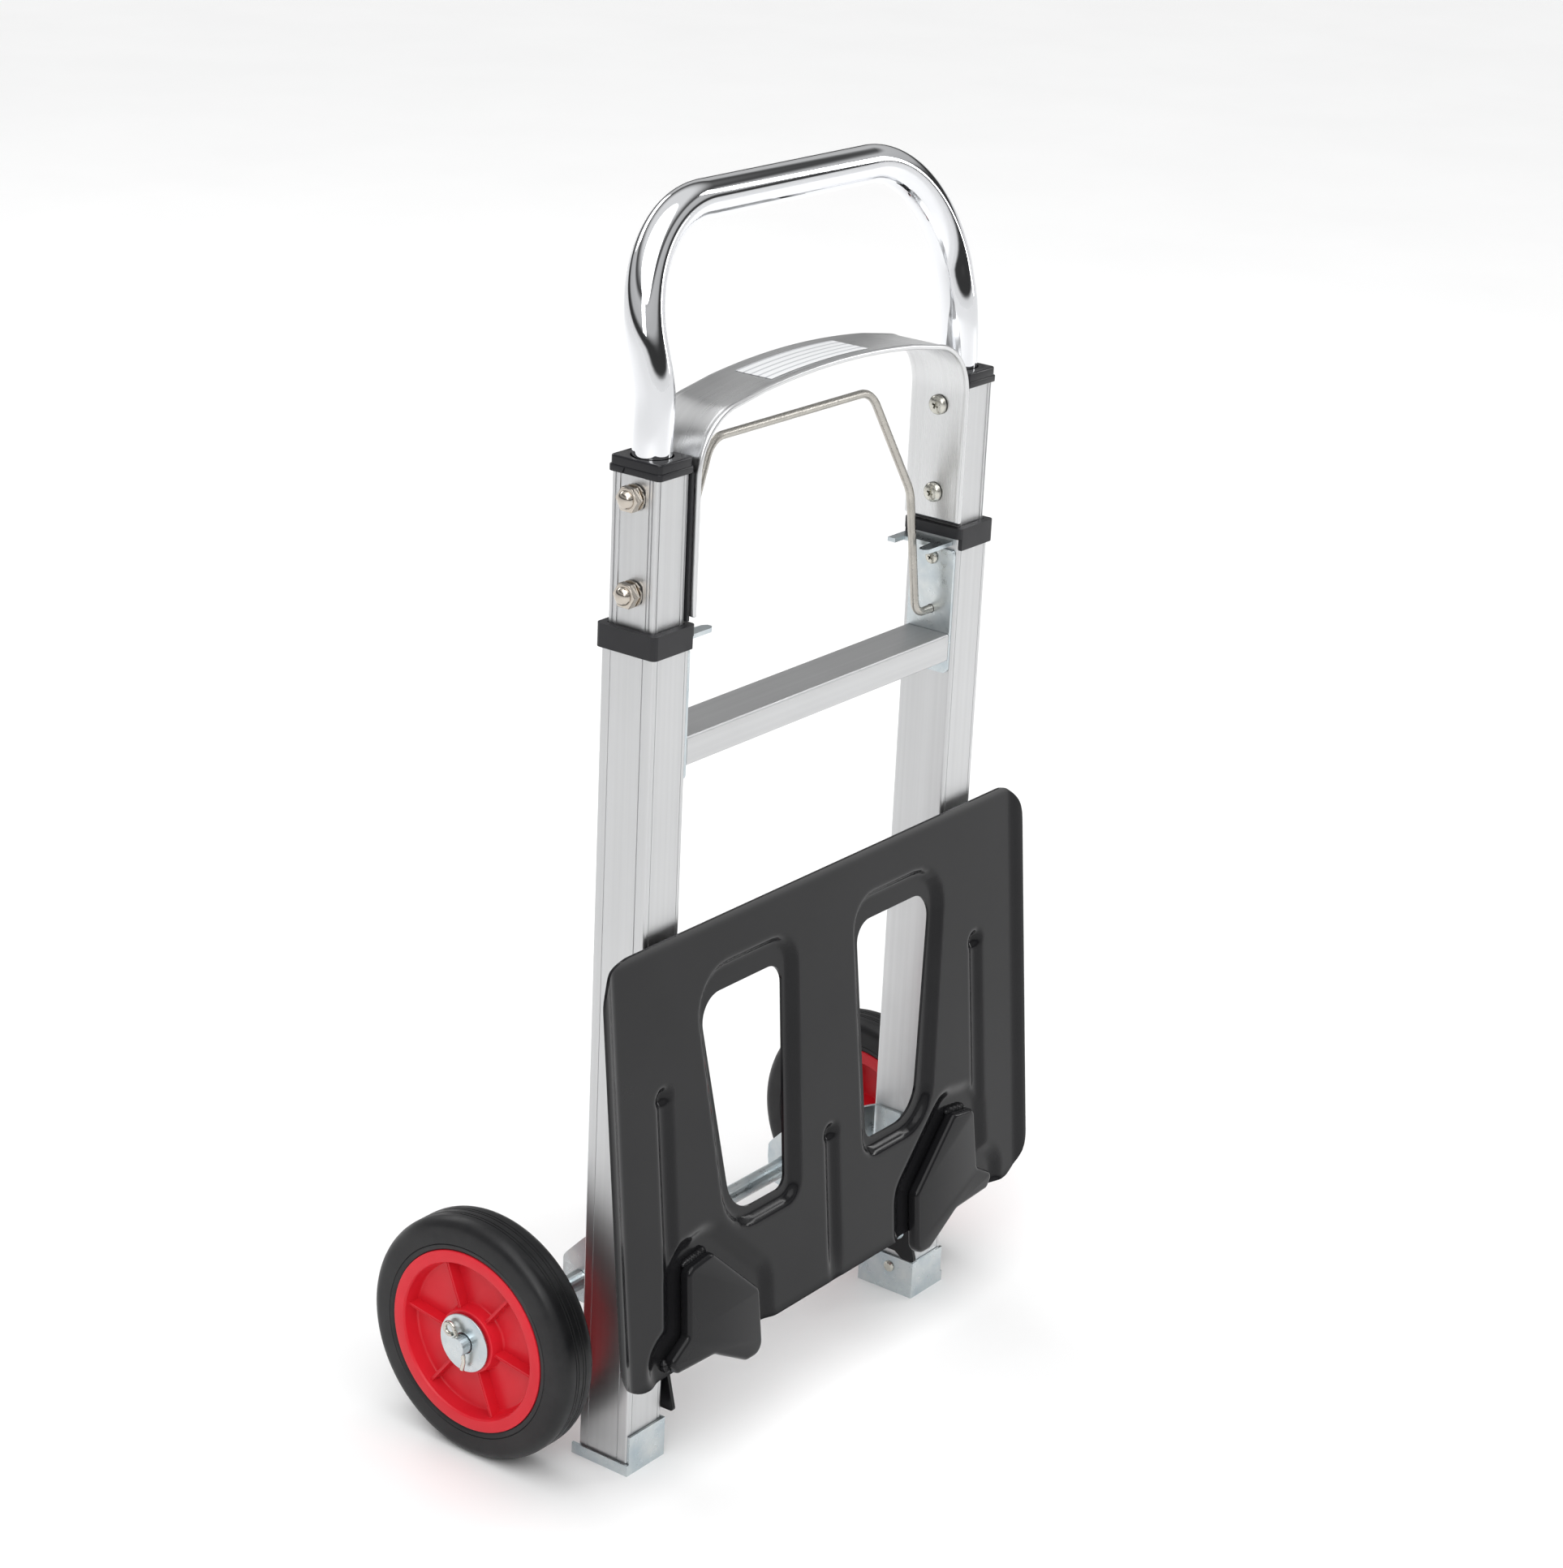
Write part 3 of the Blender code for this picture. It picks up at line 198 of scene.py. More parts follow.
def brushed_aluminium(name, stretch, colour=(0.60, 0.605, 0.61), roughness=(0.30, 0.44)):
    """Drawn and anodised: fine streaks along the metal, slow cloudy handling marks."""
    graph = Graph(name, colour, 0.32, 1.0)
    fine = graph.noise(2600, stretch, 3.0)
    broad = graph.noise(260, stretch, 3.0)
    clouds = graph.noise(14, NO_STRETCH, 4.0)
    mixed = graph.node("ShaderNodeMath", operation="ADD")
    graph.link(fine, mixed.inputs[0])
    graph.link(clouds, mixed.inputs[1])
    half = graph.node("ShaderNodeMath", operation="MULTIPLY")
    half.inputs[1].default_value = 0.5
    graph.link(mixed.outputs[0], half.inputs[0])
    graph.roughness(half.outputs[0], *roughness)
    dull = tuple(value * 0.93 for value in colour)
    graph.colours(broad, dull, colour)
    last = graph.bump(fine, 0.000010, 0.5)
    graph.bump(broad, 0.000020, 0.35, last)
    return graph.material


def chrome():
    graph = Graph("chrome", (0.82, 0.83, 0.85), 0.045, 1.0)
    smears = graph.noise(30, (1, 1, 0.4), 5.0)
    graph.roughness(smears, 0.030, 0.075)
    graph.bump(graph.noise(900), 0.000004, 0.25)
    return graph.material


def satin_steel(name, colour, low, high, scale=900, height=0.00001):
    graph = Graph(name, colour, low, 1.0)
    marks = graph.noise(scale, NO_STRETCH, 5.0)
    graph.roughness(marks, low, high)
    graph.colours(graph.noise(120), tuple(value * 0.88 for value in colour), colour)
    graph.bump(marks, height, 0.5)
    return graph.material


def zinc_plate():
    """Blue-white passivated zinc: cloudy tint, fine crystal grain and a few dull patches."""
    graph = Graph("zinc_plate", (0.66, 0.71, 0.74), 0.3, 1.0)
    clouds = graph.noise(45, NO_STRETCH, 5.0, 0.6)
    graph.colours(clouds, (0.46, 0.53, 0.57), (0.66, 0.69, 0.69))
    graph.roughness(graph.noise(160, NO_STRETCH, 6.0, 0.65), 0.22, 0.42)
    last = graph.bump(graph.noise(2200, NO_STRETCH, 3.0), 0.000012, 0.6)
    graph.bump(graph.noise(90, NO_STRETCH, 2.0), 0.00006, 0.25, last)
    return graph.material


def black_enamel():
    """Stoved gloss paint on pressed steel, with orange peel and faint rubbed patches."""
    graph = Graph("black_enamel", (0.009, 0.009, 0.010), 0.16, 0.0, Specular_IOR_Level=0.22)
    graph.roughness(graph.noise(24, NO_STRETCH, 6.0, 0.6), 0.12, 0.20)
    graph.colours(graph.noise(11, NO_STRETCH, 5.0), (0.007, 0.007, 0.008), (0.012, 0.012, 0.013))
    last = graph.bump(graph.noise(420, NO_STRETCH, 2.0), 0.000020, 0.25)
    graph.bump(graph.noise(55, NO_STRETCH, 2.0), 0.00010, 0.12, last)
    return graph.material


def moulded_plastic(name, colour, low, high, grain=1500, height=0.00002):
    graph = Graph(name, colour, low, 0.0, Specular_IOR_Level=0.30)
    graph.roughness(graph.noise(70, NO_STRETCH, 5.0), low, high)
    lighter = tuple(min(value * 1.18 + 0.002, 1) for value in colour)
    graph.colours(graph.noise(16, NO_STRETCH, 4.0), colour, lighter)
    graph.bump(graph.noise(grain, NO_STRETCH, 3.0), height, 0.4)
    return graph.material


def tyre_rubber():
    """Solid rubber: matte, faintly dusty, with fine pores."""
    graph = Graph("tyre_rubber", (0.012, 0.012, 0.013), 0.42, 0.0, Specular_IOR_Level=0.30)
    graph.roughness(graph.noise(60, NO_STRETCH, 6.0, 0.65), 0.32, 0.50)
    dust = graph.noise(28, NO_STRETCH, 6.0, 0.7)
    graph.colours(dust, (0.008, 0.008, 0.009), (0.019, 0.019, 0.020), 0.35, 0.75)
    last = graph.bump(graph.noise(1800, NO_STRETCH, 3.0), 0.00003, 0.5)
    graph.bump(graph.noise(220, NO_STRETCH, 3.0), 0.00005, 0.25, last)
    return graph.material


def sticker():
    """A pale label with plain rules and a blank panel, no lettering."""
    graph = Graph("label_film", (0.78, 0.79, 0.80), 0.35)
    rules = graph.node("ShaderNodeTexWave", wave_type="BANDS", bands_direction="Y")
    rules.inputs["Scale"].default_value = 62
    graph.link(graph.coordinates, rules.inputs["Vector"])
    graph.colours(rules.outputs["Fac"], (0.80, 0.81, 0.82), (0.50, 0.51, 0.53), 0.80, 0.86)
    graph.bump(graph.noise(300), 0.00002, 0.2)
    return graph.material


RAIL_METAL = brushed_aluminium("brushed_aluminium", (1, 1, 0.006))
BAR_METAL = brushed_aluminium("brushed_crossbar", (0.006, 1, 1))
STRAP_METAL = brushed_aluminium("brushed_strap", (0.006, 1, 0.006), (0.70, 0.705, 0.71), (0.24, 0.36))
CHROME = chrome()
STAINLESS = satin_steel("stainless_wire", (0.50, 0.48, 0.44), 0.24, 0.36)
NICKEL = satin_steel("nickel_fastener", (0.56, 0.51, 0.45), 0.10, 0.22)
SCREW_ZINC = satin_steel("screw_zinc", (0.62, 0.61, 0.55), 0.18, 0.32)
ZINC = zinc_plate()
ENAMEL = black_enamel()
COLLAR = moulded_plastic("satin_black_plastic", (0.016, 0.016, 0.018), 0.34, 0.46)
CAP = moulded_plastic("gloss_black_plastic", (0.012, 0.012, 0.014), 0.14, 0.24, 900, 0.00001)
RED = moulded_plastic("red_plastic", (0.60, 0.012, 0.024), 0.30, 0.42)
RUBBER = tyre_rubber()
LABEL = sticker()


# ---------------------------------------------------------------- mesh tools

def new_object(name, work, smooth_angle=35):
    """Turns a bmesh into an object with smooth faces and sharp creases."""
    bmesh.ops.recalc_face_normals(work, faces=work.faces)
    mesh = bpy.data.meshes.new(name)
    work.to_mesh(mesh)
    work.free()
    made = bpy.data.objects.new(name, mesh)
    bpy.context.scene.collection.objects.link(made)
    mesh.shade_smooth()
    mesh.set_sharp_from_angle(angle=math.radians(smooth_angle))
    return made


def piece(made, material, body, slot, *nodes):
    """Finishes a piece: its material, body and the CAD nodes it stands for; the slot argument is not used.
    """
    made.data.materials.clear()
    made.data.materials.append(material)
    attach(made, body)
    if nodes:
        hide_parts(*nodes)
    return made


def rounded(corners, steps=8, scale=1):
    """A polygon of (x, y, radius) corners as points, each corner an arc."""
    points = []
    count = len(corners)
    for n, (x, y, radius) in enumerate(corners):
        here = Vector((x, y))
        back = (Vector(corners[n - 1][:2]) - here).normalized()
        ahead = (Vector(corners[(n + 1) % count][:2]) - here).normalized()
        half = back.angle(ahead) / 2
        start = here + back * radius / math.tan(half)
        middle = here + (back + ahead).normalized() * radius / math.sin(half)
        turn = math.copysign(math.pi - 2 * half, -back.cross(ahead))
        for step in range(steps + 1):
            arm = start - middle
            arm.rotate(Matrix.Rotation(turn * step / steps, 2))
            spot = middle + arm
            points.append((spot.x * scale, spot.y))
    return points


def filleted(points, radii, steps=10):
    """An open path with an arc of its own radius at each inner point."""
    path = [Vector(points[0])]
    for before, here, after, radius in zip(points, points[1:], points[2:], radii):
        here = Vector(here)
        back = (Vector(before) - here).normalized()
        ahead = (Vector(after) - here).normalized()
        half = back.angle(ahead) / 2
        reach = radius / math.tan(half)
        middle = here + (back + ahead).normalized() * radius / math.sin(half)
        start = (here + back * reach - middle).normalized()
        end = (here + ahead * reach - middle).normalized()
        path += [middle + start.slerp(end, step / steps) * radius for step in range(steps + 1)]
    path.append(Vector(points[-1]))
    return path


def blend(value, start, end):
    share = min(max((value - start) / (end - start), 0), 1)
    return share * share * (3 - 2 * share)


def loops_to_mesh(work, loops, closed_path):
    """Skins a list of vertex rings; the ends are capped when the path is open."""
    count = len(loops[0])
    pairs = list(zip(loops, loops[1:]))
    if closed_path:
        pairs.append((loops[-1], loops[0]))
    for first, second in pairs:
        for n in range(count):
            m = (n + 1) % count
            work.faces.new((first[n], first[m], second[m], second[n]))
    if not closed_path:
        work.faces.new(loops[0])
        work.faces.new(list(reversed(loops[-1])))


def sweep(name, path, section, reference=None, smooth_angle=40):
    """Carries a closed (a, b) section along a path; b stays along the reference if one is given."""
    work = bmesh.new()
    loops = []
    side = Vector(reference) if reference else None
    for n, point in enumerate(path):
        ahead = path[min(n + 1, len(path) - 1)] - path[max(n - 1, 0)]
        ahead.normalize()
        if side is None:
            side = ahead.orthogonal().normalized()
        side = (side - ahead * side.dot(ahead)).normalized()
        out = ahead.cross(side)
        loops.append([work.verts.new(point + out * a + side * b) for a, b in section])
    loops_to_mesh(work, loops, False)
    return new_object(name, work, smooth_angle)


def circle(radius, count=24):
    return [(radius * math.cos(2 * math.pi * n / count), radius * math.sin(2 * math.pi * n / count))
            for n in range(count)]


def lathe(name, profile, side, place, steps=64, work=None, smooth_angle=35):
    """Turns a closed (radius, height) profile about X; height runs outwards on the given side."""
    own = work is None
    work = work or bmesh.new()
    loops = []
    for step in range(steps):
        angle = 2 * math.pi * step / steps
        across, up = math.cos(angle), math.sin(angle)
        turned = [(side * height, radius * across, radius * up) for radius, height in profile]
        loops.append([work.verts.new(Vector(point) + Vector(place)) for point in turned])
    loops_to_mesh(work, loops, True)
    bmesh.ops.remove_doubles(work, verts=work.verts, dist=0.000002)
    return new_object(name, work, smooth_angle) if own else None


def plate_curve(name, outlines, low, high, edge, plane):
    """A flat outline made solid with rounded edges, as a mesh, between two stations across its plane."""
    data = bpy.data.curves.new(name, "CURVE")
    data.dimensions = "2D"
    data.fill_mode = "BOTH"
    for points in outlines:
        spline = data.splines.new("POLY")
        spline.points.add(len(points) - 1)
        for point, (x, y) in zip(spline.points, points):
            point.co = (x, y, 0, 1)
        spline.use_cyclic_u = True
    data.extrude = (high - low) / 2 - edge
    data.bevel_depth = edge
    data.bevel_resolution = 3
    data.offset = -edge
    made = bpy.data.objects.new(name, data)
    bpy.context.scene.collection.objects.link(made)
    bpy.context.view_layer.update()
    mesh = bpy.data.meshes.new_from_object(made.evaluated_get(bpy.context.evaluated_depsgraph_get()))
    bpy.data.objects.remove(made)
    work = bmesh.new()
    work.from_mesh(mesh)
    bmesh.ops.remove_doubles(work, verts=work.verts, dist=0.000005)
    middle = (low + high) / 2
    place = Matrix.Translation((0, 0, middle))
    if plane == "YZ":
        quarter = math.pi / 2
        turn = Matrix.Rotation(quarter, 4, "Z") @ Matrix.Rotation(quarter, 4, "X")
        place = Matrix.Translation((middle, 0, 0)) @ turn
    bmesh.ops.transform(work, matrix=place, verts=work.verts)
    return new_object(name, work)


def bevel(made, width, segments=3, angle=30):
    change = made.modifiers.new("soft_edges", "BEVEL")
    change.width = width
    change.segments = segments
    change.limit_method = "ANGLE"
    change.angle_limit = math.radians(angle)
    change.harden_normals = False
    return made


def apply_modifiers(made):
    bpy.context.view_layer.update()
    evaluated = made.evaluated_get(bpy.context.evaluated_depsgraph_get())
    mesh = bpy.data.meshes.new_from_object(evaluated)
    made.modifiers.clear()
    made.data = mesh


def combine(made, cutters, solver, smooth_angle):
    """Applies Boolean steps, removes their cutters, and shades the result."""
    for operation, cutter in cutters:
        change = made.modifiers.new(operation, "BOOLEAN")
        change.operation = operation
        change.solver = solver
        change.object = cutter
    apply_modifiers(made)
    for _, cutter in cutters:
        bpy.data.objects.remove(cutter)
    made.data.shade_smooth()
    made.data.set_sharp_from_angle(angle=math.radians(smooth_angle))


def cad(node, material, width=0.0):
    """A CAD node kept as it is, with a finished material and softened edges."""
    made = frame["nodes"][node]
    made.data.materials.clear()
    made.data.materials.append(material)
    if width:
        bevel(made, width)
    return made


# ---------------------------------------------------------------- rails and frame

def channelled(low, high, radius, grooves):
    """A rounded rectangle seen from above, with shallow grooves: (face, middle, half width, depth)."""
    faces = {"front": [], "right": [], "back": [], "left": []}
    for face, middle, half, depth in grooves:
        faces[face].append((middle, half, depth))
    (x0, y0), (x1, y1) = low, high
    slope = 0.35

    def notches(face, start, end, make):
        points = []
        for middle, half, depth in sorted(faces[face], reverse=start > end):
            sign = 1 if end > start else -1
            inner = half - depth * slope
            for offset, sunk in ((-half, 0), (-inner, depth), (inner, depth), (half, 0)):
                points.append(make(middle + sign * offset, sunk))
        return points

    corners = rounded([(x0, y0, radius), (x1, y0, radius), (x1, y1, radius), (x0, y1, radius)], 5)
    quarter = len(corners) // 4
    outline = corners[:quarter] + notches("front", x0, x1, lambda at, sunk: (at, y0 + sunk))
    outline += corners[quarter:2 * quarter] + notches("right", y0, y1, lambda at, sunk: (x1 - sunk, at))
    outline += corners[2 * quarter:3 * quarter] + notches("back", x1, x0, lambda at, sunk: (at, y1 - sunk))
    outline += corners[3 * quarter:] + notches("left", y1, y0, lambda at, sunk: (x0 + sunk, at))
    return outline


def extrusion(name, node, grooves, wall, body):
    """An extruded tube in a CAD rail's place, with its fine drawn grooves."""
    low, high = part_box(node)
    outline = channelled(low[:2], high[:2], 0.0016, grooves)
    inner = rounded([(low[0] + wall, low[1] + wall, 0.0006), (high[0] - wall, low[1] + wall, 0.0006),
                     (high[0] - wall, high[1] - wall, 0.0006), (low[0] + wall, high[1] - wall, 0.0006)], 2)
    made = plate_curve(name, [outline, inner], low[2], high[2], 0.0, "XY")
    return piece(made, RAIL_METAL, body, "brushed_aluminium", node)


def square(low, high, grow, radius, steps):
    """A rounded rectangle seen from above, grown past two corners of a box."""
    x0, y0, x1, y1 = low[0] - grow, low[1] - grow, high[0] + grow, high[1] + grow
    return rounded([(x0, y0, radius), (x1, y0, radius), (x1, y1, radius), (x0, y1, radius)], steps)


def end_cap(name, side):
    """A moulded cap: rounded top, flared skirt, and a trapezoid notch in its outer face."""
    node = f"rail_cap_{name}"
    low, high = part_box(node)
    (x0, y0, z0), (x1, y1, z1) = low, high
    rail_low, rail_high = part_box(f"inner_rail_{name}")
    waist = z0 + 0.0030
    inset = 0.0007
    radius = 0.0028
    top = [square(low, high, -inset, radius, 6)]
    made = plate_curve(f"flared_cap_{name}", top, z0 + 0.0002, z1, 0.0010, "XY")
    flare = plate_curve("skirt", [square(low, high, 0.0, radius, 6)], z0, waist + 0.0008, 0.0005, "XY")
    room = square(rail_low, rail_high, FIT, 0.0015, 3)
    bore = [(side * TUBE_FOOT_X + x, TUBE_Y + y) for x, y in circle(TUBE_BORE, 48)]
    cutters = [("UNION", flare),
               ("DIFFERENCE", plate_curve("room", [room], z0 - 0.01, rail_high[2] + FIT, 0, "XY")),
               ("DIFFERENCE", plate_curve("bore", [bore], z0 - 0.01, z1 + 0.01, 0, "XY"))]
    centre = (y0 + y1) / 2
    notch = [(centre - 0.0085, z0 - 0.001), (centre + 0.0085, z0 - 0.001), (centre + 0.0065, waist + 0.0004),
             (centre - 0.0065, waist + 0.0004)]
    face = x1 - inset if side > 0 else x0 + inset
    span = sorted((face, face + side * 0.01))
    cutters.append(("DIFFERENCE", plate_curve("notch", [notch], *span, 0, "YZ")))
    combine(made, cutters, "EXACT", 35)
    piece(made, CAP, "handle", "gloss_cap", node)


def rails():
    for name, side in SIDES.items():
        outer_face = "right" if side > 0 else "left"
        low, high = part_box(f"outer_rail_{name}")
        middle = (low[0] + high[0]) / 2
        grooves = [(outer_face, low[1] + 0.0072, 0.00045, 0.0004),
                   (outer_face, low[1] + 0.0295, 0.0003, 0.00025),
                   ("front", middle + side * 0.0118, 0.0003, 0.00025),
                   ("front", middle - side * 0.0118, 0.0003, 0.00025)]
        extrusion(f"rail_extrusion_{name}", f"outer_rail_{name}", grooves, 0.0014, "root")
        low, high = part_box(f"inner_rail_{name}")
        middle = (low[0] + high[0]) / 2
        grooves = [(outer_face, (low[1] + high[1]) / 2 + 0.0012, 0.0088, 0.0006),
                   (outer_face, low[1] + 0.0032, 0.0007, 0.0006),
                   (outer_face, low[1] + 0.0054, 0.0006, 0.0006),
                   (outer_face, high[1] - 0.0034, 0.0008, 0.0006),
                   ("front", middle, 0.0094, 0.0005), ("front", middle - 0.0113, 0.0006, 0.0004),
                   ("front", middle + 0.0113, 0.0006, 0.0004), ("back", middle, 0.0094, 0.0005)]
        extrusion(f"slide_extrusion_{name}", f"inner_rail_{name}", grooves, 0.0018, "handle")
        cad(f"foot_shoe_{name}", ZINC, 0.0005)
        cad(f"shoe_rivet_{name}", SCREW_ZINC)
        cad(f"rail_collar_{name}", COLLAR, 0.0011)
        cad(f"lock_plate_{name}", ZINC, 0.0004)
        cad(f"latch_fork_{name}", ZINC, 0.0006)
        end_cap(name, side)
        cad(f"strap_spacer_{name}", COLLAR, 0.0004)
        cad(f"toe_hinge_pin_{name}", ZINC, 0.0003)
        cad(f"axle_bracket_{name}", ZINC, 0.0004)
        cad(f"bracket_rivet_{name}", ZINC)
        cad(f"toe_arm_{name}", ENAMEL, 0.0007)
    cad("crossbar", BAR_METAL, 0.0004)


# ---------------------------------------------------------------- handle, strap and bail

def handle_tube():
    """The chromed tube, following the same rule as its CAD solid."""
    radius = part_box("handle_tube")[1][2] - TUBE_TOP
    bend = TUBE_TOP - TUBE_CORNER
    leg_steps, corner_steps = 39, 32

    def depth(height):
        lean = math.log1p(math.exp((height - TUBE_LEAN_START) / TUBE_LEAN_BLEND))
        return TUBE_Y + TUBE_LEAN_SLOPE * TUBE_LEAN_BLEND * lean

    half = []
    for n in range(leg_steps + 1):
        height = TUBE_BOTTOM + (bend - TUBE_BOTTOM) * n / leg_steps
        set_in = (TUBE_FOOT_X - TUBE_LEG_X) * blend(height, *TUBE_SET)
        half.append(Vector((TUBE_FOOT_X - set_in, depth(height), height)))
    for n in range(1, corner_steps + 1):
        angle = math.pi / 2 * n / corner_steps
        height = bend + TUBE_CORNER * math.sin(angle)
        half.append(Vector((TUBE_LEG_X - TUBE_CORNER * (1 - math.cos(angle)), depth(height), height)))
    path = [Vector((-point.x, point.y, point.z)) for point in half] + half[::-1]
    made = sweep("chrome_handle", path, circle(radius, 48))
    piece(made, CHROME, "handle", "mirror_chrome", "handle_tube")


def strap_path(start_x, end_x, count):
    """Points along the crowned top of the strap's middle surface."""
    places = [start_x + (end_x - start_x) * n / (count - 1) for n in range(count)]
    return [Vector((x, 0, STRAP_CROWN - x * x / (2 * STRAP_CROWN_RADIUS))) for x in places]


def strap_section(half):
    """Half-round edges, a bead inside each, and a slightly thinner middle."""
    thick, bead = STRAP_HALF_SHEET, STRAP_BEAD
    section = []
    for sign_b, sign_a in ((1, 1), (1, -1), (-1, -1), (-1, 1)):
        run = [(half - 2 * bead, thick - 0.0004), (half - 1.6 * bead, thick - 0.0002), (half - bead, thick)]
        for n in range(4):
            angle = math.pi / 2 * n / 4
            run.append((half - thick + thick * math.sin(angle), thick * math.cos(angle)))
        run = [(sign_a * a, sign_b * b) for b, a in run]
        section += run if sign_b == sign_a else run[::-1]
    return section


def strap():
    """Flat bar with beaded edges, bent into a crowned arch."""
    low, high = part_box("bridge_strap")
    middle = (low[1] + high[1]) / 2
    corner = STRAP_CROWN - STRAP_LEG_X ** 2 / (2 * STRAP_CROWN_RADIUS)
    crown = strap_path(-0.07, 0.07, 29)
    turns = [(-STRAP_LEG_X, 0, low[2]), (-STRAP_LEG_X, 0, corner), crown[0]]
    leg = filleted(turns, [STRAP_CORNER], 16)[:-1]
    lower = [leg[0].lerp(leg[1], n / 6) for n in range(1, 6)]
    leg = [leg[0], *lower, *leg[1:]]
    path = leg + crown + [Vector((-p.x, 0, p.z)) for p in reversed(leg)]
    path = [Vector((p.x, middle, p.z)) for p in path]
    section = strap_section((high[1] - low[1]) / 2)
    made = sweep("strap_bar", path, section, (0, 1, 0), 50)
    bevel(made, 0.0006, 2, 60)
    piece(made, STRAP_METAL, "handle", "brushed_aluminium", "bridge_strap")
    rise = STRAP_HALF_SHEET - 0.0001
    label = [Vector((p.x, middle - 0.001, p.z + rise)) for p in strap_path(*LABEL_SPAN, 24)]
    wide, thin = LABEL_HALF_WIDTH, 0.00012
    film = [(-thin, -wide), (-thin, wide), (thin, wide), (thin, -wide)]
    piece(sweep("blank_label", label, film, (0, 1, 0)), LABEL, "handle", "brushed_aluminium")


def release_bail():
    pivot = Vector(JOINTS["bail_tilt"]["pos_m"])
    rise = Vector((0, math.sin(BAIL_LEAN), math.cos(BAIL_LEAN)))
    points = [pivot + Vector((-x, 0, 0)) + rise * z for x, z in BAIL_HALF]
    points += [pivot + Vector((x, 0, 0)) + rise * z for x, z in reversed(BAIL_HALF)]
    path = filleted(points, BAIL_BENDS, 10)
    made = sweep("bail_wire", path, circle(BAIL_WIRE, 20))
    piece(made, STAINLESS, "bail", "stainless_wire", "release_bail")


def cross_cut(made, side, face, place, arm):
    """Cuts a tapered cross recess in a screw's head."""
    work = bmesh.new()
    for turn in (0, math.pi / 2):
        shape = bmesh.new()
        bmesh.ops.create_cube(shape, size=1)
        bmesh.ops.scale(shape, vec=(0.0042, arm * 2, arm * 0.38), verts=shape.verts)
        for vert in shape.verts:
            if vert.co.x * side > 0:
                vert.co.y *= 0.45
        bmesh.ops.rotate(shape, matrix=Matrix.Rotation(turn + 0.4, 3, "X"), verts=shape.verts)
        mesh = bpy.data.meshes.new("cross")
        shape.to_mesh(mesh)
        shape.free()
        work.from_mesh(mesh)
    bmesh.ops.translate(work, vec=(side * face, *place), verts=work.verts)
    mesh = bpy.data.meshes.new("cross_cutter")
    work.to_mesh(mesh)
    work.free()
    cutter = bpy.data.objects.new(made.name + "_cross", mesh)
    bpy.context.scene.collection.objects.link(cutter)
    change = made.modifiers.new("cross", "BOOLEAN")
    change.object = cutter
    change.use_self = True
    apply_modifiers(made)
    bpy.data.objects.remove(cutter)


def screw(name, node, side, radius, height, body):
    """A pan-head screw with a cross recess; its head points inboard."""
    low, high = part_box(node)
    y, z = (low[1] + high[1]) / 2, (low[2] + high[2]) / 2
    inner = min(abs(low[0]), abs(high[0]))
    outer = max(abs(low[0]), abs(high[0]))
    shank = radius * 0.56
    dome = []
    for n in range(9):
        angle = math.pi / 2 * n / 8
        dome.append((radius * math.sin(angle), inner + height * (1 - math.cos(angle) ** 0.8)))
    profile = [(AXIS, inner)] + dome[1:]
    profile += [(radius, inner + height), (shank, inner + height), (shank, outer), (AXIS, outer)]
    made = lathe(name, profile, side, (0, y, z), 40)
    cross_cut(made, side, inner, (y, z), radius * 0.52)
    piece(made, SCREW_ZINC, body, "fastener_steel", node)


def acorn_nut(name, node, side):
    low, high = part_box(node)
    y, z = (low[1] + high[1]) / 2, (low[2] + high[2]) / 2
    inner, outer = min(abs(low[0]), abs(high[0])), max(abs(low[0]), abs(high[0]))
    corner = (high[1] - low[1]) / 2
    turns = [n * math.pi / 3 for n in range(6)]
    hexagon = [(y + corner * math.cos(turn), z + corner * math.sin(turn)) for turn in turns]
    face = inner + 0.0055
    bounds = sorted((side * inner, side * face))
    made = plate_curve(name, [hexagon], *bounds, 0.0005, "YZ")
    work = bmesh.new()
    work.from_mesh(made.data)
    rise = outer - face
    profile = [(0.0054, face - 0.001), (0.0052, face)]
    for n in range(1, 8):
        angle = math.pi / 2 * n / 8
        profile.append((0.0052 * math.cos(angle), face + rise * math.sin(angle)))
    profile += [(AXIS, outer), (AXIS, face - 0.001)]
    lathe(name, profile, side, (0, y, z), 36, work)
    bpy.data.objects.remove(made)
    piece(new_object(name, work, 38), NICKEL, "handle", "fastener_steel", node)


def fasteners():
    for name, side in SIDES.items():
        for level in ("lower", "upper"):
            screw(f"pan_bolt_{level}_{name}", f"handle_bolt_{level}_{name}", side, 0.006, 0.0033, "handle")
            acorn_nut(f"dome_nut_{level}_{name}", f"acorn_nut_{level}_{name}", side)
            cad(f"bolt_washer_{level}_{name}", NICKEL, 0.0002)
        screw(f"pan_screw_{name}", f"lock_screw_{name}", side, 0.0042, 0.0022, "root")


# ---------------------------------------------------------------- toe plate

def outline_distance(x, y, points):
    """How far a place is outside a closed outline, negative inside."""
    nearest = 1.0
    inside = False
    for (ax, ay), (bx, by) in zip(points, points[1:] + points[:1]):
        run_x, run_y = bx - ax, by - ay
        length = max(run_x * run_x + run_y * run_y, 1e-12)
        share = min(max(((x - ax) * run_x + (y - ay) * run_y) / length, 0), 1)
        nearest = min(nearest, math.hypot(x - ax - run_x * share, y - ay - run_y * share))
        if (ay > y) != (by > y) and x < run_x * (y - ay) / (by - ay) + ax:
            inside = not inside
    return -nearest if inside else nearest


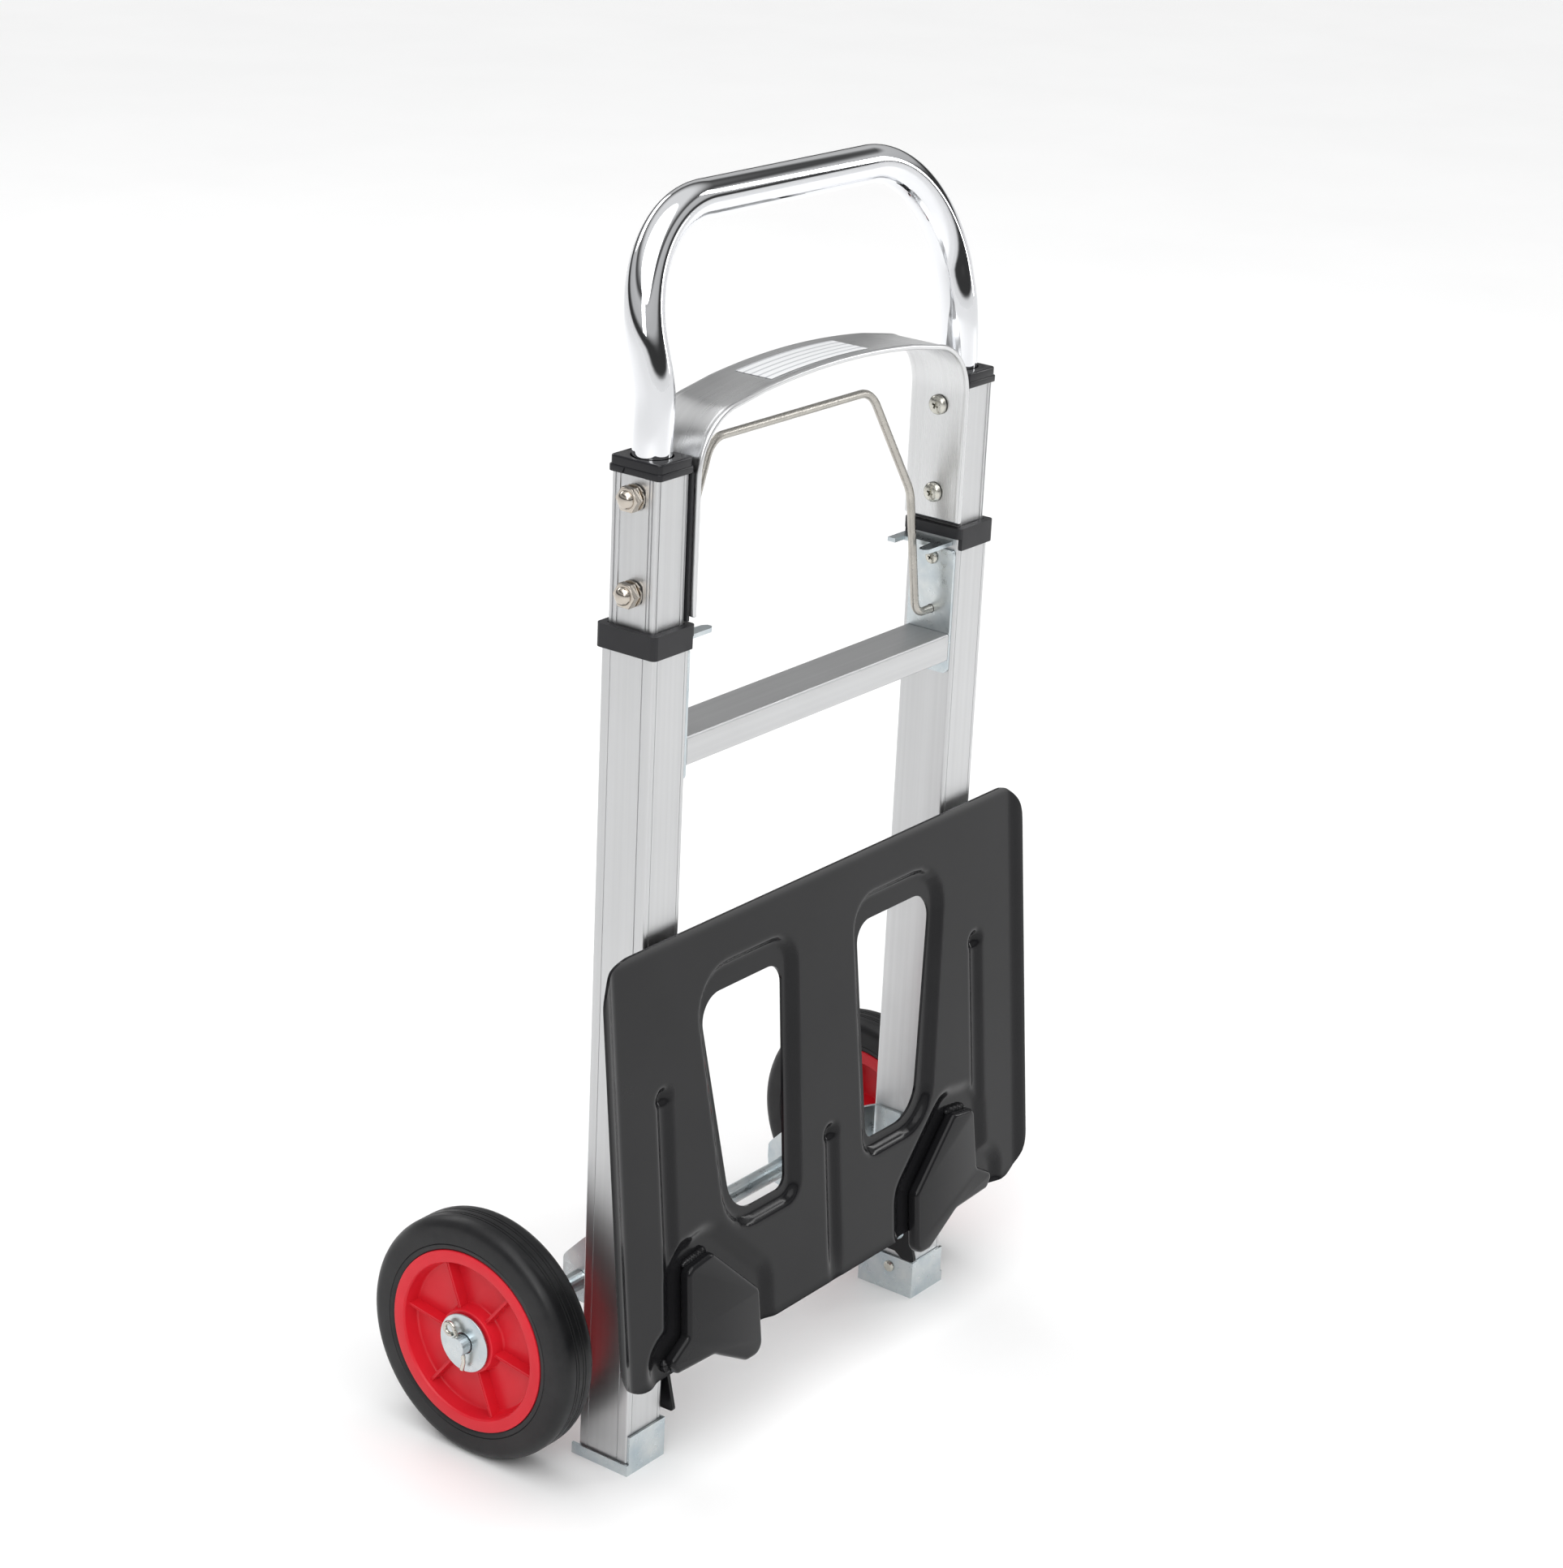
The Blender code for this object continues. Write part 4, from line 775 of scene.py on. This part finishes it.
def rib_shape(x, y, rib):
    """A long pressed groove with a deeper round dimple at its head."""
    middle, low, high = rib
    away = math.hypot(abs(x) - middle, max(low - y, y - high, 0))
    fade = blend(y, low, low + 0.03)
    dimple = 1 - blend(math.hypot(abs(x) - middle, y - high), 0.0020, 0.0080)
    return max((1 - blend(away, 0.0015, 0.0075)) * fade, 1.8 * dimple)


def face_height(x, y, dish, bracket):
    """Height of the plate's face: rim turned out, window dishes, bracket pockets and ribs pressed in."""
    edge = min(TOE_HALF - abs(x), (TOE_HIGH - y) + 0.006, (y - TOE_LOW) + 0.008)
    rim = RIM_HEIGHT * (1 - blend(edge, 0.001, 0.0115))
    lip = 1 - blend(outline_distance(abs(x), y, dish), -0.0040, 0.0022)
    pocket = 1 - blend(outline_distance(abs(x), y, bracket), 0.008, 0.019)
    ribs = max(rib_shape(x, y, SIDE_RIB), rib_shape(x, y, MIDDLE_RIB))
    return rim - max(DISH_DEPTH * lip, POCKET_DEPTH * pocket, RIB_DEPTH * ribs)


def toe_matrix():
    pivot = Vector(JOINTS["toe_hinge"]["pos_m"])
    out = Vector((0, -math.cos(TOE_LEAN), math.sin(TOE_LEAN)))
    return Matrix.Translation(pivot + out * TOE_STANDOFF) @ Matrix.Rotation(math.pi / 2 - TOE_LEAN, 4, "X")


def pressed_plate():
    dish = rounded(DISH, 6)
    bracket = rounded(BRACKET, 4)
    width = 2 * (TOE_HALF + TOE_MARGIN)
    height = TOE_HIGH - TOE_LOW + 2 * TOE_MARGIN
    columns = round(width / TOE_CELL)
    rows = round(height / TOE_CELL)
    work = bmesh.new()
    bmesh.ops.create_grid(work, x_segments=columns, y_segments=rows, size=0.5)
    for vert in work.verts:
        x = vert.co.x * width
        y = (TOE_LOW + TOE_HIGH) / 2 + vert.co.y * height
        vert.co = (x, y, face_height(x, y, dish, bracket))
    plate = new_object("pressed_toe_plate", work)
    sheet = plate.modifiers.new("sheet", "SOLIDIFY")
    sheet.thickness = TOE_SHEET
    sheet.offset = -1
    side = TOE_HALF
    trim = square((-side, TOE_LOW), (side, TOE_HIGH), 0, TOE_CORNER, 12)
    cutters = [("INTERSECT", plate_curve("trim", [trim], -0.03, 0.03, 0, "XY"))]
    for sign in SIDES.values():
        hole = [(x * sign, y) for x, y in rounded(WINDOW, 10)]
        cutters.append(("DIFFERENCE", plate_curve("hole", [hole], -0.03, 0.03, 0, "XY")))
    combine(plate, cutters, "MANIFOLD", 50)
    plate.data.transform(toe_matrix())
    bevel(plate, 0.0004, 2, 60)
    piece(plate, ENAMEL, "toe", "black_enamel", "toe_plate")


def toe_brackets():
    for name, side in SIDES.items():
        shape = rounded(BRACKET, 6, side)
        made = plate_curve(f"pressed_bracket_{name}", [shape], -0.0030, 0.0050, 0.0026, "XY")
        made.data.transform(toe_matrix())
        piece(made, ENAMEL, "toe", "black_enamel", f"toe_bracket_{name}")
        outline = [Vector((x, y, -0.0026)) for x, y in shape]
        for label, first, count in (("top", 2, 8), ("side", 23, 7)):
            run = outline[first:first + count]
            weld_bead(f"weld_{label}_{name}", run)


def weld_bead(name, run):
    """A painted weld: a tube whose radius swells with each ripple."""
    path = []
    for here, after in zip(run, run[1:]):
        steps = max(2, round((after - here).length / 0.0008))
        path += [here.lerp(after, n / steps) for n in range(steps)]
    path.append(run[-1])
    work = bmesh.new()
    loops = []
    for n, point in enumerate(path):
        ahead = (path[min(n + 1, len(path) - 1)] - path[max(n - 1, 0)]).normalized()
        out = Vector((0, 0, 1))
        side = ahead.cross(out).normalized()
        ends = min(n, len(path) - 1 - n, 4) / 4
        radius = (0.0022 + 0.0009 * math.sin(n * 1.9) ** 2) * (0.35 + 0.65 * ends)
        loops.append([work.verts.new(point + side * a + out * b) for a, b in circle(radius, 12)])
    loops_to_mesh(work, loops, False)
    made = new_object(name, work, 80)
    made.data.transform(toe_matrix())
    piece(made, ENAMEL, "toe", "black_enamel")


# ---------------------------------------------------------------- wheels

def tyre_profile(bead, radius, width):
    """Half-round shoulders, fine rings on the sidewall and shallow grooves by the tread's edges."""
    shoulder = []
    for n in range(9):
        angle = math.pi / 2 * n / 8
        out, along = 0.0075 * math.sin(angle), 0.0080 * math.cos(angle)
        shoulder.append((radius - 0.0075 + out, width - 0.0085 + along))
    grooves = []
    for at in (0.0105, 0.0125):
        near = width - at
        grooves += [(radius, near), (radius - 0.0005, near - 0.0003), (radius - 0.0005, near - 0.0006),
                    (radius, near - 0.0009)]
    wall = [(bead, width - 0.0010), (bead + 0.0012, width - 0.0003), (bead + 0.0030, width - 0.0002),
            (bead + 0.0034, width - 0.0006), (bead + 0.0038, width - 0.0002),
            (bead + 0.0080, width - 0.0002)]
    half = wall + shoulder + grooves
    return half + [(r, width - h) for r, h in reversed(half)]


def wheels():
    for name, side in SIDES.items():
        low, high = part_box(f"tyre_{name}")
        y, z = (low[1] + high[1]) / 2, (low[2] + high[2]) / 2
        radius = (high[2] - low[2]) / 2
        inside = min(abs(low[0]), abs(high[0]))
        width = high[0] - low[0]
        profile = [(r, inside + h) for r, h in tyre_profile(HUB_BEAD, radius, width)]
        tyre = lathe(f"rubber_tyre_{name}", profile, side, (0, y, z), 128)
        piece(tyre, RUBBER, f"wheel_{name}", "tyre_rubber", f"tyre_{name}")
        hub(name, side, (0, y, z), inside, width)
        low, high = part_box(f"wheel_washer_{name}")
        face = min(abs(low[0]), abs(high[0]))
        ring = rounded([(0.0065, face, 0.0002), (0.018, face, 0.0004), (0.018, face + 0.0015, 0.0005),
                        (0.0065, face + 0.0015, 0.0003)], 3)
        washer = lathe(f"hub_washer_{name}", ring, side, (0, y, z), 64)
        piece(washer, ZINC, "root", "zinc_plate", f"wheel_washer_{name}")
        cad(f"axle_stop_{name}", ZINC, 0.0004)
        cotter(name, side, (y, z))
    cad("axle", ZINC, 0.0009)


def hub(name, side, place, inside, width):
    """Moulded hub: rim flange, dished web, boss and six radial ribs."""
    floor = width - HUB_DISH
    back = floor - HUB_SHEET
    corners = [(HUB_BORE, width - 0.001, 0.0003), (0.0195, width - 0.001, 0.0008), (0.0205, floor, 0.0015),
               (0.0465, floor, 0.0015), (0.0482, width - 0.0012, 0.0008), (0.0490, width, 0.0004),
               (0.0561, width, 0.0006), (0.0561, 0, 0.0006), (0.0480, 0, 0.0006), (0.0475, back, 0.001),
               (0.0185, back, 0.001), (0.0180, 0.0002, 0.0006), (HUB_BORE, 0.0002, 0.0003)]
    work = bmesh.new()
    lathe(name, [(r, inside + h) for r, h in rounded(corners, 3)], side, place, 96, work)
    for n in range(HUB_RIBS):
        for face, rise in ((floor, 0.0065), (back, -0.0120)):
            add_rib(work, side, place, inside + face, rise, 2 * math.pi * n / HUB_RIBS + HUB_RIB_START)
    piece(new_object(f"moulded_hub_{name}", work, 32), RED, f"wheel_{name}", "red_hub", f"wheel_hub_{name}")


def add_rib(work, side, place, face, rise, angle):
    """One radial rib, thinner at its free edge."""
    shape = bmesh.new()
    bmesh.ops.create_cube(shape, size=1)
    start, end = (0.0190, 0.0478)
    for vert in shape.verts:
        top = vert.co.x > 0
        reach = start if vert.co.y < 0 else end
        thick = 0.0009 if top else 0.0013
        depth = rise if top else -math.copysign(0.0005, rise)
        vert.co = (side * (face + depth), reach, math.copysign(thick, vert.co.z))
    bmesh.ops.bevel(shape, geom=shape.edges[:], offset=0.0003, segments=2, affect="EDGES")
    bmesh.ops.rotate(shape, matrix=Matrix.Rotation(angle, 3, "X"), verts=shape.verts)
    bmesh.ops.translate(shape, vec=place, verts=shape.verts)
    mesh = bpy.data.meshes.new("rib")
    shape.to_mesh(mesh)
    shape.free()
    work.from_mesh(mesh)


def cotter(name, side, centre):
    """A split pin through the axle's end: eye above, bent tail below."""
    low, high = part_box(f"cotter_pin_{name}")
    x = side * (min(abs(low[0]), abs(high[0])) + PIN_WIRE)
    points = [(0, 0.0045, -0.0145), (0, 0.0012, -0.0105), (0, 0, -0.0072), (0, 0, PIN_EYE_START - 0.001)]
    for n in range(21):
        angle = math.radians(15 * n - 20)
        height = PIN_EYE_START + PIN_EYE * math.sin(angle) + 0.0012
        points.append((0, PIN_EYE * (1 - math.cos(angle)), height))
    place = Matrix.Translation((x, *centre)) @ Matrix.Rotation(PIN_TILT, 4, "X")
    path = [place @ Vector(point) for point in points]
    made = sweep(f"split_pin_{name}", path, circle(PIN_WIRE, 14), None, 60)
    piece(made, SCREW_ZINC, "root", "fastener_steel", f"cotter_pin_{name}")


# ---------------------------------------------------------------- studio

def area_light(name, place, target, size, power):
    data = bpy.data.lights.new(name, "AREA")
    data.shape = "RECTANGLE"
    data.size, data.size_y = size
    data.energy = power
    made = bpy.data.objects.new(name, data)
    made.location = place
    made.rotation_euler = (Vector(target) - Vector(place)).to_track_quat("-Z", "Y").to_euler()
    bpy.context.scene.collection.objects.link(made)


def studio():
    bpy.ops.mesh.primitive_plane_add(size=160, location=(0, 0, 0))
    floor = bpy.context.object
    floor.name = "studio_floor"
    graph = Graph("studio_floor", (0.92, 0.92, 0.92), 0.6)
    graph.colours(graph.noise(3), (0.91, 0.91, 0.91), (0.93, 0.93, 0.93))
    floor.data.materials.append(graph.material)
    world = bpy.data.worlds.new("studio")
    world.use_nodes = True
    tree = world.node_tree
    split = tree.nodes.new("ShaderNodeSeparateXYZ")
    tree.links.new(tree.nodes.new("ShaderNodeTexCoord").outputs["Generated"], split.inputs["Vector"])
    ramp = tree.nodes.new("ShaderNodeValToRGB")
    ramp.color_ramp.interpolation = "EASE"
    while len(ramp.color_ramp.elements) < len(SKY):
        ramp.color_ramp.elements.new(1.0)
    for stop, (height, value) in zip(ramp.color_ramp.elements, SKY):
        stop.position = height
        stop.color = (value, value, value, 1)
    tree.links.new(split.outputs["Z"], ramp.inputs["Fac"])
    tree.links.new(ramp.outputs["Color"], tree.nodes["Background"].inputs["Color"])
    bpy.context.scene.world = world
    sun = bpy.data.lights.new("overhead", "SUN")
    sun.energy = 1.75
    sun.angle = math.radians(70)
    overhead = bpy.data.objects.new("overhead", sun)
    overhead.rotation_euler = (math.radians(18), math.radians(-14), 0)
    bpy.context.scene.collection.objects.link(overhead)
    area_light("key", (-2.4, -1.4, 2.2), (0, 0, 0.35), (0.9, 1.8), 22)
    area_light("strip", (2.6, -1.6, 1.7), (0, 0, 0.4), (0.35, 2.2), 16)
    area_light("back", (0.5, 2.6, 2.2), (0, 0, 0.4), (2.0, 0.7), 18)


def camera():
    """The photograph's view: the camera's place and its right, up and back directions."""
    data = bpy.data.cameras.new("camera")
    data.lens = 82.2
    data.sensor_width = 36
    data.clip_end = 100
    made = bpy.data.objects.new("camera", data)
    right = (0.60541, -0.79468, 0.04434)
    up = (0.25509, 0.24651, 0.93497)
    back = (-0.75393, -0.55473, 0.35195)
    turn = Matrix((right, up, back)).transposed().to_4x4()
    made.matrix_world = Matrix.Translation((-1.5677, -1.12581 + RAIL_FRONT, 1.11047)) @ turn
    bpy.context.scene.collection.objects.link(made)
    bpy.context.scene.camera = made


bpy.context.scene.view_settings.view_transform = "Standard"
rails()
handle_tube()
strap()
release_bail()
fasteners()
pressed_plate()
toe_brackets()
wheels()
studio()
camera()
